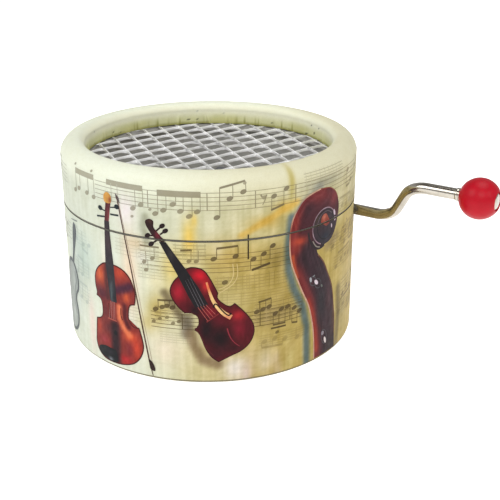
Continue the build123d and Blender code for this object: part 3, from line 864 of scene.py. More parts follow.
def front_lid_music(art):
    """The row of music along the lid, as it runs past the front."""
    staff(art, -21.0, 32.6, 34.2, 31.3, 0.42)
    beamed_notes(art, [(-27.3, 31.0), (-25.9, 31.6), (-23.4, 31.4), (-21.5, 31.1)],
                 ((-26.9, 34.55), (-21.3, 34.5)), 0.42, width=0.95)
    beamed_notes(art, [(-13.0, 30.8), (-11.5, 31.6)], ((-18.2, 34.45), (-11.1, 34.35)), 0.45, width=0.95)
    for u in (-17.2, -15.9):
        stem(art, u, 31.2, 34.4, 0.3)
    beamed_notes(art, [(-9.0, 30.4), (-7.6, 31.1), (-6.0, 32.2), (-4.8, 31.1), (-3.4, 30.3), (-2.1, 31.1)],
                 ((-8.6, 34.0), (-1.5, 33.95)), 0.5, width=0.95)
    beamed_notes(art, [(1.0, 30.1), (3.1, 33.2), (5.3, 34.2)], ((1.5, 35.0), (5.7, 36.0)), 0.62, width=0.34)
    for u, s in ((10.5, 32.9), (12.8, 33.9)):
        note_head(art, u, s, 0.62)
    stem(art, 10.1, 30.7, 32.9, 0.6)
    stem(art, 12.3, 31.1, 33.9, 0.6)
    beam(art, (10.0, 30.6), (12.4, 31.3), 0.7, width=0.36)
    for u in (-10.2, -0.5, 7.3, 14.6):
        stem(art, u, 31.3, 34.2, 0.5, width=0.16)
    for u, s in ((-9.9, 31.0), (-13.2, 29.4), (5.6, 35.6), (-27.2, 35.6), (-22.0, 35.5), (8.7, 33.0)):
        note_head(art, u, s, 0.4, size=0.32)
    flourish = [(8.2, 33.4), (8.7, 32.7), (9.2, 33.3), (8.8, 32.2), (8.5, 31.7)]
    art.line(curve(flourish), (0.3, 0.12), LIFT_NOTE, stain(NOTE_INK, 0.5))


def front_lower_music(art):
    """The two rows of music behind the instruments on the lower wall."""
    ink = (70, 56, 34)
    staff(art, -12.0, 14.0, 23.7, 20.6, 0.4, ink)
    beam(art, (-12.0, 24.6), (-8.6, 24.6), 0.5, ink, 0.3)
    beam(art, (-5.0, 24.4), (-3.1, 24.5), 0.6, ink, 0.35)
    beamed_notes(art, [(0.4, 23.0), (4.0, 23.3)], ((0.9, 24.8), (4.4, 25.1)), 0.6, ink, 0.36)
    for u, s, end in ((7.0, 22.5, 20.7), (8.8, 23.2, 21.2), (10.4, 24.4, 22.2)):
        note_head(art, u, s, 0.62, ink)
        stem(art, u - 0.5, s, end, 0.55, ink)
    beam(art, (6.7, 20.6), (9.9, 21.4), 0.75, ink, 0.42)
    art.line([(6.1, 22.6), (6.1, 26.9)], 0.22, LIFT_DETAIL, flat((48, 34, 20)))
    for u, s in ((-11.3, 21.8), (-9.8, 22.6), (-3.6, 22.6), (-2.4, 22.6), (-11.0, 20.4)):
        note_head(art, u, s, 0.42, ink, 0.45)
        stem(art, u + 0.35, s, s + 1.9, 0.4, ink)
    note_head(art, 2.2, 18.8, 0.55, ink, 0.55)
    for reach in (0.0, 0.7):
        tie = [(1.2, 17.6 - reach), (2.8 + reach, 18.4), (3.6 + reach, 20.0), (3.5 + reach, 22.0)]
        art.line(curve(tie), 0.14, LIFT_NOTE, stain((214, 196, 150), 0.7))
    staff(art, -10.5, 16.4, 13.0, 10.2, 0.5, ink, 0.13)
    groups = (
        ([(-9.6, 13.5), (-8.4, 14.0), (-7.6, 14.3), (-6.6, 14.1)], ((-9.2, 15.2), (-6.2, 15.4))),
        ([(7.6, 12.9), (8.7, 13.2), (9.8, 13.5)], ((7.9, 14.6), (10.2, 15.0))),
        ([(11.0, 12.0), (12.2, 12.6), (13.4, 12.8)], ((10.6, 9.9), (13.0, 9.9))),
        ([(14.8, 12.2), (15.9, 11.4)], ((14.3, 9.5), (15.5, 9.3))),
    )
    for heads, bar in groups:
        beamed_notes(art, heads, bar, 0.62, ink, 0.34)
    beam(art, (10.2, 9.3), (13.1, 9.3), 0.7, ink, 0.32)
    for u in (-5.0, 8.2, 13.9):
        stem(art, u, 10.2, 13.0, 0.6, ink, 0.16)
    for u, s in ((-10.0, 11.2), (-8.9, 11.8), (-7.6, 12.2), (-6.6, 11.2), (-5.6, 11.6), (11.4, 8.4)):
        note_head(art, u, s, 0.45, ink, 0.4)


def faint_music(art):
    """Rows of older music that show through the washes behind the instruments."""
    rng = random.Random(11)
    ink = (84, 70, 40)
    lines_only = (
        # start, end, top, bottom, strength
        (-12.4, -8.6, 25.2, 22.6, 0.22), (-6.2, -0.8, 25.3, 22.9, 0.30), (-12.6, -7.4, 21.2, 19.0, 0.16),
        (0.6, 13.2, 19.6, 17.4, 0.22), (1.4, 14.6, 16.6, 14.6, 0.16), (-9.8, -3.2, 14.0, 11.6, 0.34),
        (7.2, 16.6, 14.2, 11.4, 0.30), (-9.0, -3.6, 9.4, 7.6, 0.12), (-17.0, -12.0, 25.0, 22.4, 0.12),
        (-17.0, -12.6, 13.0, 10.6, 0.12), (16.4, 27.0, 35.6, 33.6, 0.22),
    )
    with_notes = (
        (23.4, 36.0, 22.6, 20.2, 0.24), (24.8, 36.0, 18.4, 16.2, 0.22), (26.6, 36.0, 8.6, 6.4, 0.22),
        (24.6, 36.0, 28.6, 26.6, 0.16), (8.0, 17.4, 8.2, 6.4, 0.14),
    )
    for u0, u1, top, bottom, strength in lines_only + with_notes:
        staff(art, u0, u1, top, bottom, strength, ink, 0.12)
        bars(art, rng, u0, u1, top, bottom, 0.8 * strength, ink)
    for u0, u1, top, bottom, strength in with_notes:
        phrase(art, rng, u0, u1 + 2.4, top, bottom, strength + 0.06, ink)


def side_and_back_music(art):
    """Rows of generic music over the rest of the box."""
    rng = random.Random(7)
    grey, brown = (120, 120, 110), (110, 94, 62)
    for u0, u1, ink in ((-84.0, -31.0, grey), (28.2, 84.0, brown)):
        for top, strength in ((34.2, 0.4), (23.7, 0.4), (13.0, 0.5)):
            staff(art, u0, u1, top, top - 3.0, strength, ink)
            phrase(art, rng, u0, u1, top, top - 3.0, strength + 0.08, ink)
    for top, u0, u1 in ((23.7, -31.0, -24.5), (18.0, -30.0, -24.5), (13.0, -31.0, -24.5)):
        staff(art, u0, u1, top, top - 2.6, 0.16, (120, 136, 140), 0.1)
        phrase(art, rng, u0, u1 + 2.5, top, top - 2.6, 0.2, (120, 136, 140))


# ------------------------------------------------------------- instruments


def frame_point(at, tilt, along, across):
    """A point given along and across an instrument's axis, which starts at `at` and runs down."""
    c, d = math.cos(math.radians(tilt)), math.sin(math.radians(tilt))
    return at[0] + across * c + along * d, at[1] - along * c + across * d


def placed(at, tilt, points):
    return [(*frame_point(at, tilt, p[0], p[1]), *p[2:]) for p in points]


def fiddle_outline(length, width):
    """A violin's body, top to bottom, as (along, across) points, with corners marked."""
    half = [
        (0.0, 0.18), (0.02, 0.42), (0.07, 0.66), (0.15, 0.80), (0.23, 0.80), (0.30, 0.73),
        (0.345, 0.80, 0), (0.40, 0.61), (0.46, 0.56), (0.52, 0.61), (0.575, 0.86, 0), (0.63, 0.90),
        (0.71, 0.99), (0.79, 1.0), (0.88, 0.90), (0.95, 0.66), (0.99, 0.33),
    ]
    right = [(t * length, w * width / 2, *k) for t, w, *k in half]
    left = [(a, -b, *k) for a, b, *k in reversed(right)]
    return right + [(length, 0.0)] + left


def f_hole(art, at, tilt, along, across, size, side):
    """One f-shaped sound hole."""
    ink, lift = flat((44, 16, 18)), LIFT_BODY + 0.006
    line = [(-1.0, -0.22), (-0.86, 0.1), (-0.5, 0.12), (0.0, 0.0), (0.5, -0.12), (0.86, -0.1), (1.0, 0.22)]
    points = [(along + a * size, across + side * b * size) for a, b in line]
    art.line(curve(placed(at, tilt, points)), size * 0.16, lift, ink)
    for a, b in (line[0], line[-1]):
        dot = frame_point(at, tilt, along + a * size * 0.9, across + side * b * size)
        art.patch(ellipse(*dot, size * 0.16, size * 0.16, 0, 10), lift, ink)


def fiddle(art, at, tilt, length, width, paint, edge, neck, tones):
    """A whole violin: body, edging, fingerboard, strings, bridge, tailpiece, scroll and pegs."""

    def put(points):
        return placed(at, tilt, points)

    dark, light, box_tone, scroll_tone = tones
    outline = loop(put(fiddle_outline(length, width)))
    art.shape(outline, LIFT_BODY, paint, 0.42)
    art.line(outline + outline[:1], 0.26, LIFT_BODY + 0.004, flat(edge))
    for sign in (-1, 1):
        f_hole(art, at, tilt, length * 0.52, sign * width * 0.17, length * 0.062, sign)
    board_end, bridge, head = length * 0.37, length * 0.555, neck + length * 0.18
    board = [(-neck, -0.5), (-neck, 0.5), (board_end, 0.92), (board_end, -0.92)]
    art.shape(put(board), LIFT_DETAIL, flat(dark), 0.6)
    art.line(put([(-neck, 0.26), (board_end * 0.94, 0.55)]), (0.22, 0.5), LIFT_DETAIL + 0.003, flat(light))
    for k in (-1.5, -0.5, 0.5, 1.5):
        string = [(board_end, k * 0.34), (bridge, k * 0.46), (length * 0.68, k * 0.22)]
        art.line(put(string), 0.07, LIFT_DETAIL, flat((226, 196, 180)))
    art.line(put([(bridge, -1.0), (bridge, 1.0)]), 0.24, LIFT_TOP, flat((214, 168, 130)))
    tail = [(0.66, -0.72), (0.66, 0.72), (0.86, 0.42), (0.93, 0.3), (0.93, -0.3), (0.86, -0.42)]
    art.shape(put([(length * a, b) for a, b in tail]), LIFT_DETAIL, flat((34, 20, 26)), 0.6)
    peg_box = [(-neck, -0.55), (-neck, 0.55), (-head, 0.85), (-head - 0.9, 0.5), (-head - 0.9, -0.5),
               (-head, -0.6)]
    art.shape(put(peg_box), LIFT_DETAIL, flat(box_tone), 0.6)
    scroll = [(0.4, -0.72), (0.4, 0.72), (1.5, 0.78), (2.3, 0.0), (1.5, -0.78)]
    scroll = loop(put([(-head - a, b) for a, b in scroll]))
    art.shape(scroll, LIFT_TOP, shaded(scroll_tone, [], 18, 2.0), 0.4)
    for down, sign in ((0.6, -1), (1.6, 1), (2.2, -1), (3.0, 1)):
        along = -neck - down
        spindle = put([(along, 0.3 * sign), (along - 0.15, 1.5 * sign)])
        art.line(spindle, 0.2, LIFT_DETAIL, flat((44, 48, 52)))
        knob = frame_point(at, tilt, along - 0.18, 1.75 * sign)
        art.patch(ellipse(*knob, 0.36, 0.42, tilt, 12), LIFT_TOP, flat((38, 44, 48)))


def upright_violin(art):
    """The orange-brown violin that stands upright on the left of the front."""
    body = loop([
        (-19.6, 19.8), (-21.0, 19.0), (-22.0, 17.9), (-22.5, 16.6), (-22.5, 15.0), (-22.2, 13.7),
        (-22.4, 13.1, 0), (-21.3, 12.7), (-20.9, 11.4), (-21.0, 9.8), (-21.6, 9.0), (-22.7, 8.6, 0),
        (-22.9, 7.2), (-23.1, 5.4), (-23.2, 3.8), (-22.6, 2.3), (-21.0, 1.3), (-18.8, 1.15),
        (-16.6, 1.35), (-14.4, 2.1), (-12.9, 3.6), (-12.2, 5.6), (-12.4, 7.4), (-12.9, 9.25, 0),
        (-14.0, 9.3), (-14.9, 10.4), (-14.9, 12.0), (-14.5, 13.2), (-13.6, 13.5, 0), (-13.4, 14.6),
        (-13.5, 16.2), (-14.3, 18.2), (-15.6, 19.4), (-17.4, 19.9),
    ])
    paint = shaded((140, 58, 52), [
        (-21.2, 17.4, 1.3, 1.8, (206, 108, 66), 0.95),
        (-19.9, 18.8, 0.7, 0.9, (160, 72, 56), 0.7),
        (-20.8, 13.9, 1.9, 1.3, (90, 40, 56), 0.9),
        (-16.4, 18.7, 1.3, 1.1, (196, 84, 58), 0.9),
        (-16.6, 17.0, 0.9, 0.8, (150, 58, 54), 0.7),
        (-15.2, 14.5, 0.7, 1.1, (206, 104, 64), 0.9),
        (-20.2, 10.8, 1.0, 1.6, (104, 44, 50), 0.8),
        (-14.8, 7.1, 1.3, 1.0, (222, 106, 62), 0.95),
        (-13.6, 5.2, 1.0, 2.0, (204, 80, 56), 0.95),
        (-15.0, 4.7, 0.8, 1.3, (128, 46, 58), 0.7),
        (-16.1, 2.4, 1.6, 0.9, (188, 52, 56), 0.9),
        (-22.1, 7.2, 0.6, 1.5, (184, 78, 56), 0.8),
        (-20.9, 5.0, 1.4, 0.9, (158, 58, 68), 0.8),
        (-19.6, 7.6, 1.0, 1.2, (96, 40, 48), 0.8),
    ], 12, 1.0, [
        ([(-17.2, 15.4), (-15.7, 16.0), (-14.2, 16.7)], 0.6, (80, 40, 64), 0.95),
        ([(-19.4, 19.6), (-19.6, 16.4), (-19.3, 13.4)], 0.35, (84, 44, 46), 0.8),
        ([(-18.1, 8.4), (-18.1, 4.6), (-18.2, 1.2)], 0.75, (50, 30, 40), 0.95),
        ([(-16.9, 12.4), (-16.9, 10.2), (-16.1, 8.6), (-14.9, 7.4)], 0.4, (222, 132, 92), 0.95),
        ([(-15.6, 12.8), (-15.7, 10.4), (-15.0, 8.9)], 0.35, (92, 34, 40), 0.9),
    ])
    art.shape(body, LIFT_BODY, paint, 0.4)
    art.line(body + body[:1], 0.24, LIFT_BODY + 0.004, shaded((92, 36, 36), [], 14, 8.0))
    art.line([(-19.25, 12.4), (-19.15, 10.2), (-18.9, 9.3)], 0.16, LIFT_BODY + 0.006, flat((52, 28, 32)))
    art.line(curve([(-16.5, 12.2), (-16.55, 11.0), (-16.3, 10.0)]), 0.16, LIFT_BODY + 0.006,
             flat((66, 28, 32)))
    board = shaded((60, 54, 60), [
        (-18.6, 24.0, 1.0, 2.5, (84, 66, 68), 0.8), (-18.3, 14.6, 0.35, 1.9, (108, 132, 134), 0.85),
        (-17.8, 14.2, 0.4, 1.6, (34, 36, 44), 0.8)], 8, 2.0)
    art.shape([(-19.15, 27.6), (-18.05, 27.6), (-18.0, 25.0), (-17.6, 20.0), (-17.3, 13.0), (-18.5, 12.9),
               (-18.9, 13.4), (-19.5, 20.0)], LIFT_DETAIL, board, 0.5)
    for top, foot in ((-18.8, -19.4), (-18.5, -18.9), (-18.2, -18.4), (-17.9, -18.0)):
        art.line([(top, 13.0), (foot, 9.5)], 0.08, LIFT_DETAIL, flat((176, 128, 122)))
    art.line([(-19.7, 9.5), (-17.6, 9.45)], 0.2, LIFT_TOP, flat((176, 96, 84)))
    art.patch(ellipse(-18.0, 7.1, 0.34, 0.5), LIFT_TOP, flat((24, 20, 28)))
    peg_box = [(-19.1, 27.6), (-18.1, 27.6), (-17.5, 30.9), (-18.6, 31.0)]
    cheeks = shaded((96, 44, 50), [(-17.9, 28.4, 0.4, 1.2, (168, 96, 96), 0.8)], 12, 3)
    art.shape(peg_box, LIFT_DETAIL, cheeks, 0.5)
    head = loop([(-18.8, 30.9), (-19.0, 31.9), (-18.5, 32.6), (-17.8, 32.6), (-17.3, 31.9), (-17.5, 30.9)])
    gold = shaded((204, 158, 88), [(-17.6, 31.4, 0.4, 0.5, (126, 60, 44), 0.8)], 22, 2.0)
    art.shape(head, LIFT_TOP, gold, 0.4)
    for u, s, to in ((-19.95, 29.6, -18.6), (-16.2, 30.5, -17.6)):
        art.line([(u, s - 0.1), (to, s - 0.35)], 0.22, LIFT_DETAIL, flat((58, 62, 66)))
        art.patch(ellipse(u, s, 0.5, 0.42), LIFT_TOP, flat((44, 52, 58)))
    for a, b in (((-20.9, 28.0), (-19.0, 28.25)), ((-17.7, 28.95), (-15.9, 29.05))):
        art.line([a, b], 0.3, LIFT_DETAIL, flat((60, 66, 70)))
    rest = loop([(-22.6, 3.1), (-21.0, 3.8), (-19.4, 3.75), (-18.1, 3.5), (-17.95, 1.35), (-20.2, 1.3),
                 (-22.2, 2.0)])
    gloss = [(-19.5, 1.62, 0.55, 0.2, (204, 208, 216), 0.9), (-19.6, 2.9, 0.8, 0.4, (66, 56, 70), 0.6)]
    art.shape(rest, LIFT_TOP, shaded((30, 34, 38), gloss, 5), 0.3)


def bow(art):
    """The bow standing beside the upright violin, with its frog at the foot."""
    wood = flat((92, 66, 56))
    art.line([(-16.1, 32.3), (-13.9, 20.0), (-10.9, 1.9)], (0.2, 0.28), LIFT_DETAIL, wood)
    art.line([(-15.9, 32.1), (-13.1, 18.0), (-10.6, 3.2)], 0.09, LIFT_NOTE, stain((150, 120, 104), 0.7))
    tip = [(-16.4, 32.9), (-15.7, 32.2), (-15.5, 31.2), (-16.0, 31.6), (-16.3, 32.0)]
    art.patch(tip, LIFT_DETAIL, flat((110, 104, 104)))
    frog = loop([(-11.3, 3.6), (-10.6, 3.3), (-10.1, 2.2), (-10.2, 1.6), (-10.9, 1.7, 0)])
    art.shape(frog, LIFT_TOP, flat((60, 40, 36)), 0.5)
    art.line([(-10.8, 1.7), (-10.5, 0.5)], 0.16, LIFT_DETAIL, wood)


def crimson_violin(art):
    """The dark red violin that leans across the middle of the front."""
    body = loop([
        (-3.0, 21.5), (-1.4, 21.1), (-0.4, 19.8), (0.5, 18.0), (1.0, 16.9, 0), (0.9, 16.1), (1.6, 15.2),
        (2.9, 14.4), (3.8, 14.9, 0), (4.7, 14.0), (5.9, 12.6), (6.9, 10.9), (7.1, 9.2), (6.4, 7.4),
        (5.0, 6.1), (3.0, 5.2), (1.0, 4.2, 0), (-0.2, 5.2), (-1.1, 6.7), (-1.7, 8.4), (-2.2, 9.6),
        (-2.9, 10.2, 0), (-2.2, 11.2), (-2.3, 12.6), (-3.3, 13.3), (-4.5, 13.3, 0), (-5.6, 14.3),
        (-6.6, 15.8), (-6.9, 17.3), (-6.2, 18.9), (-5.0, 20.2), (-4.2, 21.1),
    ])
    paint = shaded((96, 16, 30), [
        (-5.5, 17.0, 1.2, 1.9, (172, 30, 54), 0.95),
        (-4.6, 14.2, 1.2, 0.9, (96, 14, 32), 0.8),
        (-1.9, 20.1, 1.4, 1.3, (206, 22, 50), 0.95),
        (-0.9, 18.2, 0.7, 1.1, (204, 50, 50), 0.85),
        (-2.8, 13.8, 1.0, 1.2, (44, 14, 24), 0.9),
        (-0.4, 13.4, 0.9, 1.0, (160, 28, 50), 0.9),
        (1.2, 11.6, 0.9, 0.9, (112, 18, 40), 0.8),
        (-1.0, 10.4, 1.2, 2.4, (36, 14, 22), 0.95),
        (1.4, 8.6, 1.9, 2.2, (34, 12, 20), 0.95),
        (0.4, 5.6, 1.6, 1.0, (70, 22, 34), 0.8),
        (3.6, 6.6, 1.4, 0.8, (60, 16, 26), 0.8),
        (4.4, 12.6, 1.1, 1.0, (184, 46, 54), 0.95),
        (4.6, 10.2, 1.1, 1.6, (134, 24, 50), 0.9),
        (6.1, 9.6, 0.6, 2.2, (92, 14, 32), 0.8),
    ], 10, 4.0)
    art.shape(body, LIFT_BODY, paint, 0.4)
    art.line(body + body[:1], 0.2, LIFT_BODY + 0.003, shaded((70, 16, 24), [], 12, 5))
    shine = [(-0.8, 18.9), (-0.35, 17.2), (0.2, 15.6), (1.0, 14.3), (2.0, 13.2), (3.2, 12.4)]
    art.line(curve(shine), (0.3, 0.95), LIFT_BODY + 0.006, shaded((222, 188, 134), [
        (-0.5, 18.2, 0.4, 1.2, (214, 104, 70), 0.95), (2.9, 12.5, 0.8, 0.5, (206, 112, 92), 0.9)], 14, 6))
    hole = [(0.3, 14.5), (0.5, 14.95), (0.9, 14.8), (1.5, 14.0), (2.2, 13.2), (2.8, 12.8), (3.1, 13.1)]
    art.line(curve(hole), 0.24, LIFT_DETAIL + 0.003, flat((34, 18, 18)))
    for u, s in (hole[0], hole[-1]):
        art.patch(ellipse(u, s, 0.2, 0.2, 0, 10), LIFT_DETAIL + 0.004, flat((34, 18, 18)))
    art.line(curve([(2.5, 10.4), (2.9, 9.0), (3.6, 7.8), (4.6, 6.9)]), (0.22, 0.1), LIFT_DETAIL,
             flat((146, 54, 68)))
    art.line(curve([(-2.9, 10.6), (-1.9, 9.0), (-1.1, 6.9), (0.2, 5.4)]), 0.16, LIFT_DETAIL,
             flat((92, 36, 42)))
    neck = [(-8.5, 25.6), (-7.4, 25.7), (-4.1, 21.1), (-2.1, 17.9), (-0.6, 14.9), (-1.7, 13.9),
            (-2.8, 14.4), (-3.8, 16.2), (-5.4, 19.7)]
    board = shaded((38, 34, 38), [(-6.6, 23.6, 0.5, 1.4, (70, 66, 62), 0.8)], 5, 0.0)
    art.shape(neck, LIFT_DETAIL, board, 0.5)
    for k in range(3):
        art.line([(-4.3 + 0.4 * k, 19.2 + 0.3 * k), (-2.2 + 0.45 * k, 14.5 + 0.15 * k)], (0.03, 0.09),
                 LIFT_TOP, flat((112, 108, 114)))
    for k in range(4):
        a, b = (-2.3 + 0.45 * k, 14.4 + 0.15 * k), (-0.7 + 0.42 * k, 11.9 + 0.4 * k)
        art.line([a, b], 0.08, LIFT_TOP, flat((186, 104, 96)))
    art.line([(-0.9, 11.7), (1.1, 13.2)], 0.2, LIFT_TOP, flat((132, 52, 54)))
    head = loop([(-10.8, 29.0), (-10.1, 29.4), (-9.4, 29.1), (-9.4, 28.1), (-8.8, 27.3), (-8.1, 26.5),
                 (-7.5, 25.8), (-8.5, 25.7), (-9.5, 26.4), (-10.1, 27.2), (-10.7, 28.2)])
    art.shape(head, LIFT_TOP, shaded((58, 32, 34), [(-8.7, 26.8, 0.5, 0.8, (128, 44, 60), 0.9),
                                                   (-10.0, 29.0, 0.5, 0.4, (84, 56, 46), 0.8)], 12, 7), 0.3)
    for u, s, to in ((-7.9, 28.4, (-9.0, 27.4)), (-7.4, 27.6, (-8.3, 26.9)), (-10.5, 26.5, (-9.3, 26.6)),
                     (-9.9, 25.1, (-8.8, 25.9))):
        art.line([(u, s), to], 0.28, LIFT_DETAIL, flat((56, 34, 34)))
        art.patch(ellipse(u, s, 0.55, 0.38, 35), LIFT_TOP, flat((48, 32, 32)))


def big_scroll(art):
    """The large violin head on the right: its scroll on the lid, its peg box down the wall."""
    left = [(19.7, -0.2), (19.6, 3.0), (19.4, 5.6), (18.9, 8.4), (18.0, 11.6), (16.6, 14.4), (15.4, 17.0),
            (14.4, 19.4), (13.8, 21.6), (13.6, 24.4), (13.8, 26.8), (14.4, 28.8), (16.0, 31.0),
            (18.0, 31.9), (20.3, 32.3)]
    right = [(22.9, 31.9), (24.7, 30.7), (25.6, 29.2), (25.9, 27.6), (25.4, 25.4), (24.6, 23.6),
             (23.3, 22.4), (21.4, 22.0), (19.6, 21.8), (20.0, 20.8), (21.6, 19.0), (22.9, 16.6),
             (24.1, 14.5), (24.9, 12.2), (25.4, 9.3), (25.8, 7.0), (25.9, 3.5), (26.1, -0.2)]
    ends = [(*left[0], 0)] + left[1:] + right[:8] + [(*right[8], 0)] + right[9:-1] + [(*right[-1], 0)]
    patches = [
        (20.4, 30.9, 3.0, 1.2, (128, 54, 58), 0.9), (24.3, 30.0, 1.4, 1.6, (134, 58, 62), 0.9),
        (14.7, 27.8, 0.5, 1.6, (148, 60, 48), 0.8), (17.4, 29.2, 1.2, 1.6, (74, 40, 50), 0.9),
        (15.6, 24.1, 1.7, 0.9, (184, 78, 52), 0.95), (15.0, 22.6, 1.2, 1.0, (150, 62, 50), 0.7),
        (17.0, 20.8, 1.8, 1.4, (58, 34, 44), 0.8), (21.2, 11.0, 1.3, 4.0, (52, 48, 54), 0.8),
        (23.6, 11.6, 0.8, 3.2, (86, 52, 58), 0.8), (25.3, 8.4, 0.45, 4.0, (108, 76, 52), 0.8),
        (24.4, 1.6, 1.6, 1.8, (70, 62, 58), 0.8),
    ]
    glows = [
        ([(15.2, 17.6), (14.5, 19.8), (14.2, 21.6)], 0.32, (178, 86, 46), 0.9),
        ([(17.9, 12.6), (19.0, 9.8), (19.8, 6.4), (20.2, 2.4)], 0.42, (158, 60, 42), 0.85),
    ]

    def paint(u, s):
        reach = off_line(u, s, left)
        tone = mix((122, 46, 46), (82, 36, 46), ramp(0.8, 2.4, reach))
        tone = mix(tone, (62, 38, 48), ramp(1.4, 3.2, reach) * (1 - ramp(22.5, 26.0, s)))
        tone = over_strokes(over_patches(tone, u, s, patches), u, s, glows)
        change = grain(reach * 2.4, s * 0.22, 2.0) * 18 + grain(u * 5, s * 5, 8.0) * 8
        return tuple(c + change for c in tone)

    art.shape(loop(ends), LIFT_BODY, paint, 0.4)
    rim_light = shaded((196, 160, 138), [(15.2, 30.4, 2.0, 1.2, (150, 140, 134), 0.9),
                                         (13.9, 26.0, 0.6, 1.6, (150, 84, 66), 0.9)], 24, 3)
    art.line(curve(left), (0.30, 0.24), LIFT_BODY + 0.004, rim_light)
    art.line(curve([(20.3, 32.3), (22.9, 31.9), (24.7, 30.7), (25.6, 29.2)]), 0.16, LIFT_BODY + 0.004,
             shaded((150, 92, 76), [], 20, 4))
    eye(art, (21.7, 25.4))
    groove = [(17.5, 25.2), (17.9, 23.7), (18.9, 22.3), (20.2, 21.7), (21.6, 22.0)]
    art.line(curve(groove), (0.4, 0.5), LIFT_DETAIL, flat((52, 40, 44)))
    art.line(curve([(18.6, 23.4), (19.4, 22.3), (20.4, 21.9)]), 0.2, LIFT_TOP, flat((146, 138, 130)))
    cheek = [(20.0, 20.6), (21.6, 18.8), (22.9, 16.4), (24.0, 14.3), (24.8, 12.0), (25.3, 9.2),
             (25.7, 6.9), (25.8, 3.5)]
    art.line(curve(cheek), 0.26, LIFT_BODY + 0.004, shaded((116, 80, 58), [], 22, 5))
    for u, s, ru, rs, turn in ((18.9, 16.0, 0.7, 0.95, 30), (20.2, 15.2, 0.75, 1.0, 35),
                               (22.4, 4.1, 0.75, 1.5, 15)):
        ring = ellipse(u, s, ru, rs, turn, 18)
        art.line(ring + ring[:1], 0.16, LIFT_TOP, flat((88, 84, 88)))
    for u, s, ru, rs, turn, tone in (
        (18.35, 16.4, 0.26, 0.5, 15, (164, 164, 168)), (19.75, 15.55, 0.34, 0.62, 40, (214, 202, 210)),
        (19.1, 16.9, 0.32, 0.14, 20, (128, 130, 132)), (21.3, 14.4, 0.2, 0.34, 30, (112, 116, 112)),
        (21.95, 4.95, 0.4, 0.42, 10, (146, 138, 146)), (22.75, 3.3, 0.3, 0.72, 18, (216, 206, 204)),
    ):
        art.patch(ellipse(u, s, ru, rs, turn, 14), LIFT_TOP + 0.003, flat(tone))


def eye(art, at):
    """The eye of the scroll: ringed dark disc with an orange heart and pale glints."""
    u, s = at
    disc = shaded((62, 46, 54), [(u - 2.0, s + 1.6, 0.9, 1.4, (78, 62, 50), 0.8),
                                 (u + 0.2, s - 2.0, 1.6, 1.0, (48, 52, 66), 0.9)], 10, 6)
    art.shape(ellipse(u, s, 3.3, 3.3, 10, 36), LIFT_DETAIL, disc, 0.4)
    ring = ellipse(u, s, 3.2, 3.2, 10, 36)
    art.line(ring[2:25], 0.18, LIFT_DETAIL + 0.003, shaded((152, 128, 138), [], 34, 7))
    inner = ellipse(u + 0.2, s + 0.1, 2.3, 2.5, 10, 30)
    art.line(inner[1:26], 0.2, LIFT_DETAIL + 0.003, shaded((40, 34, 42), [], 12, 9))
    art.line(inner[3:14], 0.12, LIFT_TOP, shaded((116, 100, 106), [], 30, 9))
    heart = loop([(u - 1.2, s + 1.0), (u - 0.8, s + 2.0), (u + 0.1, s + 2.2), (u + 0.8, s + 1.4),
                  (u + 1.2, s + 0.4), (u + 0.4, s - 0.1), (u - 0.4, s + 0.3)])
    glow = [(u - 0.3, s + 1.6, 0.5, 0.4, (196, 124, 100), 0.9),
            (u + 0.6, s + 0.5, 0.5, 0.4, (118, 46, 44), 0.8)]
    art.shape(heart, LIFT_TOP, shaded((150, 78, 62), glow, 20), 0.3)
    for du, ds, ru, rs, turn in ((2.7, 1.7, 0.26, 0.62, 20), (2.9, 0.5, 0.2, 0.42, 5),
                                 (1.9, -0.5, 0.16, 0.4, 10)):
        art.patch(ellipse(u + du, s + ds, ru, rs, turn, 12), LIFT_TOP + 0.003, flat((202, 184, 194)))


def pencil_violin(art):
    """The faint grey drawing of a violin seen from the side, at the left edge."""
    grey = (78, 84, 88)
    neck = loop([(-29.4, 24.4), (-28.6, 24.0), (-28.4, 22.6), (-29.2, 20.4), (-30.2, 18.0), (-30.8, 16.2),
                 (-31.4, 16.4), (-30.7, 19.2), (-30.3, 21.6), (-29.9, 23.6)])
    body = loop([(-31.6, 16.4), (-30.2, 15.6), (-29.2, 13.6), (-29.4, 11.6), (-30.4, 10.4), (-30.9, 9.0),
                 (-30.4, 7.6), (-30.2, 5.6), (-31.0, 3.6), (-33.0, 2.2), (-35.6, 2.4), (-36.0, 8.0),
                 (-35.4, 13.0), (-33.6, 16.0)])
    art.shape(neck, LIFT_BODY, lambda u, s: mix(wash(u, s), grey, 0.85), 0.5)
    shade = shaded((142, 148, 146), [(-31.6, 12.4, 0.9, 2.4, (176, 182, 178), 0.8),
                                     (-32.4, 5.4, 1.0, 1.8, (184, 190, 186), 0.8)], 10, 21)
    art.shape(body, LIFT_BODY, lambda u, s: mix(wash(u, s), shade(u, s), 0.75), 0.6)
    art.line(body + body[:1], (0.5, 0.7), LIFT_DETAIL, stain(grey, 0.85))
    waist = [(-30.6, 14.6), (-30.2, 13.0), (-31.2, 11.0), (-31.6, 8.6), (-31.1, 6.0)]
    art.line(curve(waist), 0.3, LIFT_DETAIL, stain(grey, 0.55))
    art.line([(-30.3, 24.8), (-27.6, 25.1)], 0.2, LIFT_DETAIL, stain(grey, 0.5))


